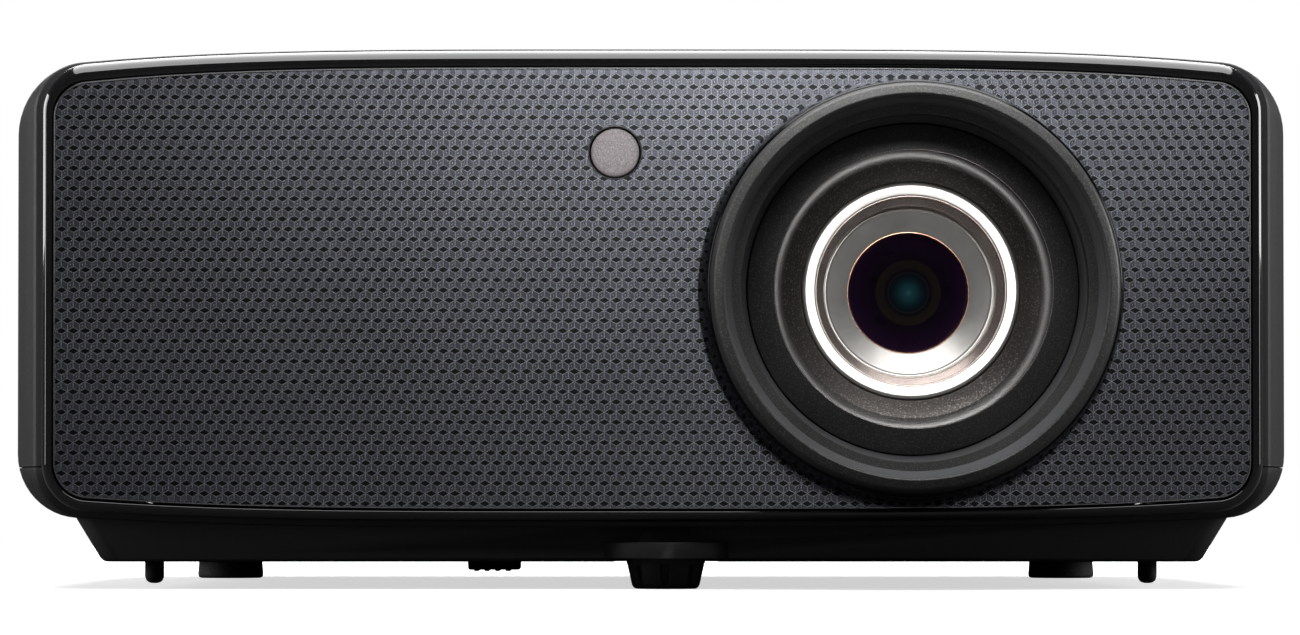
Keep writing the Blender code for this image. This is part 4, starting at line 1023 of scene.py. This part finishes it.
def lens():
    """The zoom and focus rings, the hood, the barrel with its stepped throat, and the glass."""
    sandy = plain_finish("sandy_grey", (0.050, 0.049, 0.048), (0.075, 0.074, 0.072), (0.34, 0.50),
                         0.00045, 0.000080, 0.30, (0.150, 0.148, 0.145))
    funnel = plain_finish("funnel_grey", (0.120, 0.122, 0.126), (0.150, 0.152, 0.157), (0.30, 0.38), 0.00025,
                          0.000010, 0.30, (0.180, 0.182, 0.186))
    throat = plain_finish("throat_grey", (0.300, 0.305, 0.315), (0.360, 0.365, 0.375), (0.16, 0.22), 0.00030,
                          0.000004, 0.95, (0.380, 0.385, 0.395))
    cone = plain_finish("cone_brown", (0.075, 0.066, 0.062), (0.110, 0.099, 0.094), (0.30, 0.44), 0.00060,
                        0.000110, 0.65, (0.240, 0.228, 0.220))
    collar = plain_finish("collar_black", (0.0018, 0.0018, 0.0020), (0.0030, 0.0030, 0.0033), (0.10, 0.16),
                          0.0012, 0.000004, 0.0, None, Specular_IOR_Level=0.22)
    lens_piece("zoom_ring_skin", [(51.9, 17.9), (52.4, 17.4), (54.4, 2.4), (54.0, 0.9), (46.6, 0.9),
                                  (46.6, -8.0), (44.2, -8.0), (44.2, 17.9)], "zoom_control", "gloss_black",
               ["zoom_ring"], collar, rounding=0.4)
    lens_piece("focus_ring_skin", [(48.4, 24.95), (48.7, 25.0), (50.6, 23.9), (51.0, 23.3), (51.8, 18.2),
                                   (43.9, 18.2), (43.9, -6.0), (42.3, -6.0), (42.45, 9.0), (47.9, 22.0),
                                   (48.2, 24.6)], "focus_control", "satin_black", ["focus_ring"], sandy, 0.2)
    lens_piece("focus_funnel", [(48.15, 24.60), (47.83, 22.0), (42.38, 9.0), (42.24, 0.0), (42.5, 0.0),
                                (42.7, 9.0), (48.1, 22.0), (48.35, 24.60)], "focus_control", "satin_black",
               ["focus_ring"], funnel, 0.1)
    lens_piece("hood_skin", [(35.45, 13.0), (42.0, 9.2), (42.0, -4.0), (40.5, -4.0), (40.5, 7.2), (36.6, 9.6),
                             (34.9, 4.4), (30.4, -1.0), (28.3, -1.0), (28.15, 1.0), (32.7, 5.0)], "chassis",
               "satin_black", ["lens_hood"], sandy, 0.2)
    lens_piece("hood_throat", [(35.42, 12.95), (35.20, 12.60), (32.60, 4.95), (32.90, 4.95), (35.46, 12.60)],
               "chassis", "satin_black", ["lens_hood"], throat, 0.05)
    lens_piece("hood_cone", [(32.66, 5.10), (28.10, 1.08), (28.10, -0.8), (28.35, -0.8), (28.40, 0.80),
                             (32.80, 4.70)], "chassis", "satin_black", ["lens_hood"], cone, 0.05)
    lens_piece("barrel_skin", [(26.9, 0.9), (27.5, 0.6), (27.8, 0.0), (27.8, -22.0), (17.5, -22.0),
                               (17.5, -11.4), (15.7, -11.4), (15.7, -10.4), (21.0, -8.2), (21.35, -7.75),
                               (21.7, -7.75), (21.85, -8.1), (22.0, -8.0), (22.3, -2.2), (24.1, -1.2),
                               (24.3, 0.5), (24.6, 0.8)], "focus_group", "satin_silver",
               ["front_barrel"], rounding=0.15)
    lens_piece("barrel_step", [(24.15, 0.4), (24.0, -1.25), (22.2, -2.25), (21.95, -7.9), (22.1, -7.9),
                               (22.35, -2.15), (24.15, -1.15), (24.35, 0.4)], "focus_group",
               "satin_silver", ["front_barrel"],
               lathe_metal("rose_satin", (0.40, 0.33, 0.30), (0.50, 0.43, 0.40), (0.24, 0.34)), 0.05)
    lens_piece("glass_retainer", [(17.45, -11.1), (15.55, -10.55), (15.3, -11.5), (15.6, -11.6)],
               "focus_group", "satin_silver", ["front_barrel"],
               lathe_metal("peach_satin", (0.62, 0.36, 0.24), (0.75, 0.46, 0.32), (0.22, 0.32)), 0.1)
    inner = coated_glass("inner_coating", (0.004, 0.016, 0.016), (0.010, 0.060, 0.070), (0.45, 0.95, 0.90))
    # The front element wears painted reflections and highlights of the inner elements and its coating.
    lens_glass("front_glass_skin", 17.2, -9.4, 2.8, -18.0, -2.0, "focus_group", "front_glass",
               painted_lens_reflections())
    lens_glass("zoom_glass_skin", 13.2, -38.2, 1.6, -47.0, 1.8, "zoom_group", "zoom_glass", inner)
    lens_glass("rear_glass_skin", 20.2, -61.0, 2.0, -70.0, -2.0, "chassis", "rear_glass", inner)


# ---------------------------------------------------------------- grilles and fans
def grille(name, node, side):
    """A grille with rounded slots, and slanted louvres behind them."""
    low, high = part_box(node)
    centre = (low + high) / 2
    half_depth = (high.y - low.y) / 2
    half_height = (high.z - low.z) / 2
    row_pitch = 2 * half_height / (GRILLE_ROWS + 0.5)
    column_pitch = half_depth
    outlines = [rounded_rectangle((0.0, 0.0), half_height, half_depth, 0.0012)]
    louvres = []
    for row in range(GRILLE_ROWS):
        for column in (-0.5, 0.5):
            place = ((row - (GRILLE_ROWS - 1) / 2) * row_pitch, column * column_pitch)
            slot_half = (row_pitch * 0.30, column_pitch * 0.46)
            outlines.append(rounded_rectangle(place, slot_half[0], slot_half[1], slot_half[0] * 0.98, 8))
            along = centre.y + place[1]
            up = centre.z + place[0]
            louvre = block("louvre", (-0.0022, -slot_half[1], -0.00045), (0.0022, slot_half[1], 0.00045),
                           0.0003, 2)
            shift = Matrix.Translation((centre.x - side * 0.0026, along, up - 0.0004))
            louvre.transform(shift @ Matrix.Rotation(side * math.radians(38), 4, "Y"))
            louvres.append(louvre)
    thickness = high.x - low.x
    face = plate(name, outlines, thickness, Matrix.Translation(centre) @ SIDEWAYS, 0.0005, 3)
    finish_piece(name + "_face", face, "chassis", "satin_black", replaces=[node])
    finish_piece(name + "_louvres", joined(name, louvres), "chassis", "satin_black", replaces=[node])


def rotor(name, node, body, side):
    """A fan rotor with a domed hub and seven curved blades."""
    centre = middle(node)
    facing = Matrix.Translation(centre) @ Matrix.Rotation(side * math.pi / 2, 4, "Y")
    hub = solid_turned("hub", [(0.0, 0.0105), (0.0100, 0.0104), (0.0130, 0.0100), (0.0142, 0.0092),
                               (0.0145, 0.0080), (0.0145, -0.0082), (0.0141, -0.0085), (0.0, -0.0085)],
                       facing, 72)
    parts = [hub]
    for number in range(7):
        rings = []
        for step in range(9):
            radius = 0.0135 + (0.0362 - 0.0135) * step / 8
            sweep = math.radians(16) * (step / 8) ** 1.5
            pitch = math.radians(42 - 14 * step / 8)
            ring = []
            for share, thick in ((-1, 0.0), (-0.6, 0.00055), (0, 0.00080), (0.6, 0.00060), (1, 0.0),
                                 (0.6, -0.00060), (0, -0.00080), (-0.6, -0.00055)):
                chord = share * 0.0085
                bend = 0.0012 * (1 - share ** 2)
                around = chord * math.cos(pitch) + (thick + bend) * math.sin(pitch)
                height = -chord * math.sin(pitch) + (thick + bend) * math.cos(pitch)
                angle = around / radius + sweep
                ring.append((radius * math.cos(angle), radius * math.sin(angle), height))
            rings.append(ring)
        spin = Matrix.Rotation(2 * math.pi * number / 7, 4, "Z")
        parts.append(skin("blade", rings, around=False, capped=True, matrix=facing @ spin))
    finish_piece(name, joined(name, parts), body, "fan_grey", replaces=[node], crease=40)


# ---------------------------------------------------------------- back
def rear_panel():
    """The socket panel with its rounded openings, and slots in front of the speakers."""
    inset = WALL + GAP
    low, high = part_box("rear_panel")
    outline = crowned_outline(high.x, BODY_LOW + inset, TOP - inset, BODY_STATIONS[-1][2] - inset)
    holes = []
    inlet_low, inlet_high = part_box("power_inlet")
    inlet = (inlet_low + inlet_high) / 2
    holes.append(rounded_rectangle((inlet.x, inlet.z), 0.0139 + GAP, 0.0099 + GAP, 0.0015))
    for node in ("hdmi_port_1", "hdmi_port_2", "usb_port", "network_port"):
        port_low, port_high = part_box(node)
        port = (port_low + port_high) / 2
        half = (port_high - port_low) / 2
        holes.append(rounded_rectangle((port.x, port.z), half.x + GAP, half.z + GAP, 0.0005, 3))
    audio = middle("audio_port")
    holes.append(circle((audio.x, audio.z), 0.0040 + GAP, 40))
    for node in ("speaker_left", "speaker_right"):
        place = middle(node)
        for row in range(-2, 3):
            holes.append(rounded_rectangle((place.x, place.z + row * 0.006), 0.012, 0.0013, 0.00125, 6))
    thickness = high.y - low.y
    mesh = plate("rear_plate", [outline] + holes, thickness,
                 Matrix.Translation((0.0, (low.y + high.y) / 2, 0.0)) @ FORWARD, 0.0003, 2)
    finish_piece("rear_plate", mesh, "chassis", "satin_black", satin_black("rear_texture", 0.0006, 0.00004),
                 ["rear_panel"])


def sockets():
    """The socket shells with rolled mouths and gold contacts."""
    gold = plain_finish("contact_gold", (0.60, 0.42, 0.14), (0.75, 0.56, 0.22), (0.22, 0.36),
                        0.0003, 0.000004, 1.0, (0.85, 0.70, 0.35))
    for node, tongue in (("hdmi_port_1", 0.0006), ("hdmi_port_2", 0.0006), ("usb_port", 0.0009),
                         ("network_port", 0.0)):
        low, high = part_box(node)
        centre = (low + high) / 2
        half = (high - low) / 2
        wall = 0.0012 if tongue == 0.0 else 0.0006
        chamfer = 0.0012 if node.startswith("hdmi") else 0.0004
        rings = []
        for distance, inset in ((0.0, 0.0003), (0.0002, 0.0), (2 * half.y, 0.0), (2 * half.y, wall),
                                (0.0003, wall), (0.0, wall * 0.8)):
            outline = rounded_rectangle((centre.x, centre.z), half.x - inset, half.z - inset,
                                        max(chamfer - inset, 0.0001), 3)
            rings.append([(across, high.y - distance, up) for across, up in outline])
        finish_piece(node + "_shell", skin(node, rings), "chassis", "zinc_steel", replaces=[node])
        back = block("socket_back", (low.x + wall * 0.5, low.y, low.z + wall * 0.5),
                     (high.x - wall * 0.5, low.y + 0.0020, high.z - wall * 0.5), 0.0001, 1)
        inside = [back]
        if tongue > 0:
            inside.append(block("tongue", (centre.x - half.x * 0.7, low.y + 0.001, centre.z - tongue),
                                (centre.x + half.x * 0.7, high.y - 0.0015, centre.z + tongue), 0.0002, 2))
        finish_piece(node + "_core", joined(node + "_core", inside), "chassis", "socket_black",
                     replaces=[node])
        pins = []
        count = 8 if tongue == 0.0 else 5
        for number in range(count):
            across = centre.x + (number - (count - 1) / 2) * half.x * 1.15 / count
            if tongue > 0:
                pins.append(block("pin", (across - 0.0002, low.y + 0.002, centre.z - tongue - 0.00012),
                                  (across + 0.0002, high.y - 0.0019, centre.z - tongue + 0.0002), 0.00004, 1))
            else:
                pins.append(block("pin", (across - 0.00018, low.y + 0.002, high.z - 0.0034),
                                  (across + 0.00018, high.y - 0.0040, high.z - 0.0030), 0.00005, 1))
        finish_piece(node + "_pins", joined(node + "_pins", pins), "chassis", "bare_aluminium", gold, [node])


def power_inlet():
    """The mains inlet: a rounded flange, a deep cavity with cut corners, and three blades."""
    low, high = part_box("power_inlet")
    centre = (low + high) / 2
    face = high.y
    rings = []
    for distance, half_x, half_z, corner in (
            (0.0005, 0.0169, 0.0119, 0.0020), (0.0, 0.0164, 0.0114, 0.0017), (0.0, 0.0126, 0.0086, 0.0030),
            (0.0004, 0.0122, 0.0082, 0.0028), (0.0170, 0.0122, 0.0082, 0.0028),
            (0.0170, 0.0010, 0.0010, 0.0002), (face - low.y, 0.0010, 0.0010, 0.0002),
            (face - low.y, 0.0139, 0.0099, 0.0008),
            (0.0033, 0.0139, 0.0099, 0.0008), (0.0030, 0.0169, 0.0119, 0.0020)):
        outline = rounded_rectangle((centre.x, centre.z), half_x, half_z, corner, 5)
        rings.append([(across, face - distance, up) for across, up in outline])
    finish_piece("inlet_body", skin("inlet_body", rings), "chassis", "socket_black", replaces=["power_inlet"])
    blades = [block("blade", (centre.x + shift - 0.0010, face - 0.0180, centre.z + lift - 0.0020),
                    (centre.x + shift + 0.0010, face - 0.0030, centre.z + lift + 0.0020), 0.0004, 2)
              for shift, lift in ((-0.0070, 0.0005), (0.0, 0.0045), (0.0070, 0.0005))]
    finish_piece("inlet_blades", joined("inlet_blades", blades), "chassis", "zinc_steel",
                 replaces=["power_inlet"])


def audio_port():
    """The round audio socket with a metal sleeve."""
    place = middle("audio_port")
    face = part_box("audio_port")[1].y
    matrix = Matrix.Translation((place.x, face, place.z)) @ BACKWARD @ MILLIMETRES
    ring_profile = softened([(1.9, 0.0), (4.0, 0.0), (4.0, -13.0), (1.9, -13.0)], 0.4)
    ring = turned("audio_ring", ring_profile, matrix, 56)
    finish_piece("audio_ring", ring, "chassis", "socket_black", replaces=["audio_port"])
    sleeve_profile = softened([(1.75, -0.2), (2.5, 0.0), (2.5, -12.0), (1.75, -12.0)], 0.2)
    sleeve = turned("audio_sleeve", sleeve_profile, matrix, 48)
    finish_piece("audio_sleeve", sleeve, "chassis", "zinc_steel", replaces=["audio_port"])


# ---------------------------------------------------------------- keypad
ROUND_KEYS = ("power_button", "menu_button", "enter_button")
KEYS = (("power_button", "power_key"), ("menu_button", "menu_key"), ("enter_button", "enter_key"),
        ("up_button", "up_key"), ("down_button", "down_key"), ("left_button", "left_key"),
        ("right_button", "right_key"))
ARROW_TURNS = {"right_button": 0, "up_button": 90, "left_button": 180, "down_button": 270}


def keypad():
    """The glossy keypad plate and its seven dished keys, four with a raised arrow."""
    low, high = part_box("keypad_frame")
    centre = (low + high) / 2
    outlines = [rounded_rectangle((centre.x, centre.y), (high.x - low.x) / 2, (high.y - low.y) / 2,
                                  0.0047, 8)]
    for node, body in KEYS:
        key_low, key_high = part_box(node)
        key = (key_low + key_high) / 2
        half = (key_high - key_low) / 2
        if node in ROUND_KEYS:
            outlines.append(circle((key.x, key.y), half.x + GAP, 48))
        else:
            outlines.append(rounded_rectangle((key.x, key.y), half.x + GAP, half.y + GAP, 0.0009, 4))
        finish_piece(node + "_key", key_mesh(node, key, half, key_high.z), body, "satin_black",
                     replaces=[node], crease=40)
    mesh = plate("keypad_plate", outlines, high.z - low.z, Matrix.Translation((0.0, 0.0, centre.z)),
                 0.0003, 2)
    finish_piece("keypad_plate", mesh, "chassis", "gloss_black", replaces=["keypad_frame"])


def key_mesh(node, key, half, top):
    """One key: round ones are dished, and the long ones carry a small raised arrow."""
    depth = 2 * half.z
    if node in ROUND_KEYS:
        radius = half.x
        profile = [(0.0, -0.00035), (radius * 0.5, -0.00028), (radius * 0.78, -0.00006),
                   (radius - 0.0006, 0.0), (radius - 0.00025, -0.00008), (radius - 0.00006, -0.00025),
                   (radius, -0.0005), (radius, -depth), (0.0, -depth)]
        return solid_turned(node, profile, Matrix.Translation((key.x, key.y, top)), 64)
    rings = []
    for drop, inset in ((depth, 0.0), (0.0005, 0.0), (0.00022, 0.00008), (0.00008, 0.00025), (0.0, 0.0006)):
        outline = rounded_rectangle((key.x, key.y), half.x - inset, half.y - inset, 0.0008 - inset * 0.5, 5)
        rings.append([(across, along, top - 0.00012 - drop) for across, along in outline])
    body = skin(node, rings, around=False, capped=True)
    turn = math.radians(ARROW_TURNS[node])
    arrow_rings = []
    for lift, size in ((-0.0002, 0.0011), (0.00005, 0.0011), (0.00011, 0.0009)):
        corners = [(size * math.cos(turn + angle), size * math.sin(turn + angle))
                   for angle in (0.0, math.radians(130), math.radians(230))]
        arrow_rings.append([(key.x + across, key.y + along, top - 0.00012 + lift)
                            for across, along in corners])
    return joined(node, [body, skin("arrow", arrow_rings, around=False, capped=True)])


# ---------------------------------------------------------------- feet, posts and screws
def threaded(name, place, radius, depth, low, high, pitch):
    """A stud with a real helical thread and chamfered ends."""
    around = 40
    levels = int((high - low) / pitch * 8)
    rings = []
    for level in range(levels + 1):
        height = low + (high - low) * level / levels
        ring = []
        for step in range(around):
            angle = 2 * math.pi * step / around
            phase = (height / pitch - step / around) % 1.0
            crest = 1.0 - abs(2.0 * phase - 1.0)
            taper = min(1.0, (height - low) / pitch + 0.2, (high - height) / pitch + 0.2)
            reach = radius - depth + depth * min(1.0, crest * 1.3) * taper
            ring.append((place.x + reach * math.cos(angle), place.y + reach * math.sin(angle), height))
        rings.append(ring)
    return skin(name, rings, around=False, capped=True)


def slotted_ring(place, radius, height, depth, slots=8, turn=-92.0):
    """A ring that dips inwards at each of the cap's vertical slots."""
    points = []
    for number in range(slots):
        middle_angle = turn + 360 * number / slots
        for shift, dip in ((-7.2, 0.0), (-6.4, 0.15), (-5.8, 0.8), (-5.0, 1.0), (5.0, 1.0), (5.8, 0.8),
                           (6.4, 0.15), (7.2, 0.0), (13.0, 0.0), (18.0, 0.0), (22.5, 0.0), (27.0, 0.0),
                           (32.0, 0.0)):
            angle = math.radians(middle_angle + shift)
            reach = radius - dip * depth
            points.append((place.x + reach * math.cos(angle), place.y + reach * math.sin(angle), height))
    return points


def feet():
    """The slotted front cap, the two rubber pads, the studs, the dome-ended posts and the rear stop."""
    place = middle("front_foot_cap")
    rings = [slotted_ring(place, radius, height, depth) for radius, height, depth in (
        (0.0076, 0.0, 0.0), (0.0081, 0.00012, 0.0), (0.0085, 0.0005, 0.0), (0.0088, 0.0010, 0.0),
        (0.0089, 0.0013, 0.0011), (0.0094, 0.0035, 0.0012), (0.0100, 0.0060, 0.0012), (0.01005, 0.0063, 0.0),
        (0.0105, 0.0078, 0.0), (0.0103, 0.0081, 0.0), (0.0046, 0.0081, 0.0), (0.0043, 0.0079, 0.0),
        (0.0043, 0.0031, 0.0), (0.0010, 0.0031, 0.0), (0.0010, 0.0030, 0.0))]
    cap_skin = skin("foot_cap", rings, around=False, capped=True)
    finish_piece("foot_cap", cap_skin, "front_cap", "satin_black",
                 satin_black("cap_black", 0.0004, 0.00003, (0.36, 0.50)), ["front_foot_cap"], 35)
    stud_low, stud_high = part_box("front_foot_stud")
    stud = threaded("front_stud_thread", place, 0.0040, 0.0007, stud_low.z, stud_high.z, 0.0020)
    finish_piece("front_stud_thread", stud, "front_stud", "zinc_steel", replaces=["front_foot_stud"],
                 crease=60)
    pad = [(0.0, 0.0), (0.0040, 0.0), (0.0043, 0.0003), (0.0055, 0.0003), (0.0058, 0.0), (0.0088, 0.0),
           (0.0094, 0.0002), (0.0097, 0.0006), (0.0098, 0.0012), (0.0095, 0.0052), (0.0093, 0.0059),
           (0.0088, 0.0062), (0.0034, 0.0062), (0.0033, 0.0060), (0.0033, 0.0025), (0.0, 0.0025)]
    for side in ("left", "right"):
        node = f"rear_foot_{side}_pad"
        at_pad = Matrix.Translation((middle(node).x, middle(node).y, 0.0))
        finish_piece(f"{side}_pad", solid_turned(node, pad, at_pad, 72), f"rear_{side}_pad", "rubber_black",
                     replaces=[node], crease=35)
        node = f"rear_foot_{side}_stud"
        low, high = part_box(node)
        stud = threaded(node, middle(node), 0.0030, 0.0004, low.z, high.z, 0.0010)
        finish_piece(f"{side}_stud_thread", stud, f"rear_{side}_stud", "zinc_steel", replaces=[node],
                     crease=60)
        node = f"tip_post_{side}"
        post = [(0.0, 0.0115), (0.00255, 0.0115), (0.00255, 0.0034), (0.00245, 0.0026), (0.0021, 0.0018),
                (0.0015, 0.00135), (0.0008, 0.00115), (0.0, 0.0011)]
        at_post = Matrix.Translation((middle(node).x, middle(node).y, 0.0))
        finish_piece(f"post_{side}", solid_turned(node, post, at_post, 40), "chassis", "rubber_black",
                     replaces=[node], crease=50)
    low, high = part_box("rear_stop")
    ribs = [block("rib", (low.x + 0.0018 + rib * 0.0032, low.y + 0.0012, low.z),
                  (low.x + 0.0034 + rib * 0.0032, high.y - 0.0012, low.z + 0.0010), 0.0003, 2)
            for rib in range(4)]
    body = block("stop", (low.x, low.y, low.z + 0.0004), (high.x, high.y, high.z), 0.0008, 3)
    finish_piece("stop_pad", joined("stop_pad", [body] + ribs), "chassis", "rubber_black",
                 replaces=["rear_stop"])


def screws():
    """The four case screws with rounded heads and crossed recesses."""
    for number in range(1, 5):
        node = f"case_screw_{number}"
        place = middle(node)
        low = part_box(node)[0].z
        profile = [(0.0, 0.0150), (0.0011, 0.0147), (0.0014, 0.0143), (0.0014, 0.0090), (0.0027, 0.0090),
                   (0.0029, 0.0088), (0.0029, 0.0080), (0.0026, low + 0.0002), (0.0020, low), (0.0, low)]
        head = solid_turned(node, profile, Matrix.Translation((place.x, place.y, 0.0)), 40)
        cross = block("bar", (-0.0016, -0.00028, -0.0001), (0.0016, 0.00028, 0.0009))
        other = cross.copy()
        other.transform(Matrix.Rotation(math.pi / 2, 4, "Z"))
        for tool in (cross, other):
            turn = Matrix.Rotation(math.radians(23 * number), 4, "Z")
            tool.transform(Matrix.Translation((place.x, place.y, low)) @ turn)
            head = carve(head, tool)
        finish_piece(f"screw_{number}", head, "chassis", "zinc_steel", replaces=[node], crease=35)


# ---------------------------------------------------------------- carried-over pieces
def carried_over():
    """Softened edges and finishes for the CAD nodes that stay."""
    slot_of = {part["node"]: part["material_slot"] for part in frame["record"]["subparts"]}
    for name, node in frame["nodes"].items():
        node.data.materials.clear()
        node.data.materials.append(MATERIALS[slot_of[name]])
        if not node.hide_render:
            rounding = node.modifiers.new("rounding", "BEVEL")
            rounding.width = 0.0004
            rounding.segments = 2
            rounding.limit_method = "ANGLE"
            rounding.angle_limit = math.radians(50)
            rounding.harden_normals = False


# ---------------------------------------------------------------- studio
FLOOR_HALF = 1.4
FLOOR_GLOW = 0.62

# how bright the room is to the camera, to diffuse surfaces and to glossy surfaces
ROOM_SEEN = 1.0
ROOM_SOFT = 0.12
ROOM_GLOSSY = 0.08

CAMERA_DISTANCE = 1.2
CAMERA_PLACE = (-0.0108, FRONT - CAMERA_DISTANCE, 0.0204)
CAMERA_LENS = 130.03
CAMERA_SHIFT = (0.0308, 0.0800)
CAMERA_TILT = math.radians(1.08)


def studio_floor():
    """A large floor, pale and faintly lit of itself to the camera, and dark to every other ray."""
    mesh = bpy.data.meshes.new("floor")
    corners = [(-FLOOR_HALF, -FLOOR_HALF, 0.0), (FLOOR_HALF, -FLOOR_HALF, 0.0),
               (FLOOR_HALF, FLOOR_HALF, 0.0), (-FLOOR_HALF, FLOOR_HALF, 0.0)]
    mesh.from_pydata(corners, [], [(0, 1, 2, 3)])
    floor = bpy.data.objects.new("floor", mesh)
    bpy.context.scene.collection.objects.link(floor)
    surface = Surface("pale_floor", Specular_IOR_Level=0.1)
    drift = surface.noise(0.60, 2.0)
    surface.colour(surface.blend(surface.remap(drift, 0.0, 1.0), (0.80, 0.80, 0.80), (0.82, 0.82, 0.82)))
    surface.roughness(surface.remap(drift, 0.80, 0.90))
    surface.shader.inputs["Emission Color"].default_value = (1.0, 1.0, 1.0, 1.0)
    surface.shader.inputs["Emission Strength"].default_value = FLOOR_GLOW
    path = surface.tree.nodes.new("ShaderNodeLightPath")
    dark = surface.tree.nodes.new("ShaderNodeBsdfDiffuse")
    dark.inputs["Color"].default_value = (0.06, 0.06, 0.06, 1.0)
    mix = surface.tree.nodes.new("ShaderNodeMixShader")
    surface.link(path.outputs["Is Camera Ray"], mix.inputs["Fac"])
    surface.link(dark.outputs["BSDF"], mix.inputs[1])
    surface.link(surface.shader.outputs["BSDF"], mix.inputs[2])
    surface.link(mix.outputs["Shader"], surface.tree.nodes["Material Output"].inputs["Surface"])
    mesh.materials.append(surface.material)


def softbox(name, place, target, size, watts):
    """A soft rectangular lamp that points at a place."""
    light = bpy.data.lights.new(name, "AREA")
    light.shape = "RECTANGLE"
    light.size, light.size_y = size
    light.energy = watts
    lamp = bpy.data.objects.new(name, light)
    bpy.context.scene.collection.objects.link(lamp)
    lamp.location = place
    lamp.rotation_euler = (Vector(target) - Vector(place)).to_track_quat("-Z", "Y").to_euler()
    lamp.visible_camera = False
    return lamp


def studio_light():
    """Soft boxes on every side, in a room that is white to the camera and dim to everything else.

    The front box is linked to the panel, window, barrel and glass retainer, and lights nothing else.
    """
    centre = (0.0, FRONT, 0.08)
    softbox("top_box", (0.02, -0.10, 1.05), (0.02, -0.1, 0.0), (1.20, 2.40), 34.0)
    sheen = softbox("front_box", (0.10, -2.12, 0.52), (0.03, FRONT, 0.11), (0.36, 0.34), 20.0)
    sheen.light_linking.receiver_collection = SHEEN
    softbox("left_strip", (-1.30, -0.45, 0.22), centre, (0.14, 0.80), 2.0)
    softbox("right_strip", (1.30, -0.20, 0.30), centre, (0.14, 0.80), 1.6)
    softbox("left_fill", (-1.30, 0.15, 0.40), (-0.16, 0.10, 0.07), (0.90, 0.50), 7.0)
    softbox("right_fill", (1.30, 0.15, 0.40), (0.16, 0.10, 0.07), (0.90, 0.50), 7.0)
    softbox("back_box", (0.0, 1.60, 0.60), (0.0, BACK, 0.08), (1.20, 0.60), 11.0)
    world = bpy.data.worlds.new("studio")
    bpy.context.scene.world = world
    world.use_nodes = True
    nodes = world.node_tree.nodes
    links = world.node_tree.links
    path = nodes.new("ShaderNodeLightPath")
    mix = nodes.new("ShaderNodeMixShader")
    bright = nodes["Background"]
    bright.inputs["Color"].default_value = (1.0, 1.0, 1.0, 1.0)
    bright.inputs["Strength"].default_value = ROOM_SEEN
    soft = nodes.new("ShaderNodeBackground")
    soft.inputs["Color"].default_value = (0.97, 0.98, 1.0, 1.0)
    soft.inputs["Strength"].default_value = ROOM_SOFT
    dim = nodes.new("ShaderNodeBackground")
    dim.inputs["Color"].default_value = (0.95, 0.97, 1.0, 1.0)
    dim.inputs["Strength"].default_value = ROOM_GLOSSY
    seen = nodes.new("ShaderNodeMixShader")
    links.new(path.outputs["Is Glossy Ray"], mix.inputs["Fac"])
    links.new(soft.outputs["Background"], mix.inputs[1])
    links.new(dim.outputs["Background"], mix.inputs[2])
    links.new(path.outputs["Is Camera Ray"], seen.inputs["Fac"])
    links.new(mix.outputs["Shader"], seen.inputs[1])
    links.new(bright.outputs["Background"], seen.inputs[2])
    links.new(seen.outputs["Shader"], nodes["World Output"].inputs["Surface"])
    bpy.context.scene.view_settings.view_transform = "Standard"


def camera():
    """A low camera, a little above the feet, that looks along +Y and slightly up."""
    data = bpy.data.cameras.new("camera")
    data.sensor_width = 36.0
    data.lens = CAMERA_LENS
    data.shift_x, data.shift_y = CAMERA_SHIFT
    data.clip_end = 100.0
    obj = bpy.data.objects.new("camera", data)
    bpy.context.scene.collection.objects.link(obj)
    obj.location = CAMERA_PLACE
    obj.rotation_euler = (math.pi / 2 + CAMERA_TILT, 0.0, 0.0)
    bpy.context.scene.camera = obj


camera()
studio_floor()
studio_light()
casing()
tub()
bezel()
front_panel()
window()
lens()
grille("left_grille", "intake_grille", -1)
grille("right_grille", "exhaust_grille", 1)
rotor("intake_blades", "intake_fan_rotor", "intake_rotor", -1)
rotor("exhaust_blades", "exhaust_fan_rotor", "exhaust_rotor", 1)
rear_panel()
sockets()
power_inlet()
audio_port()
keypad()
feet()
screws()
carried_over()
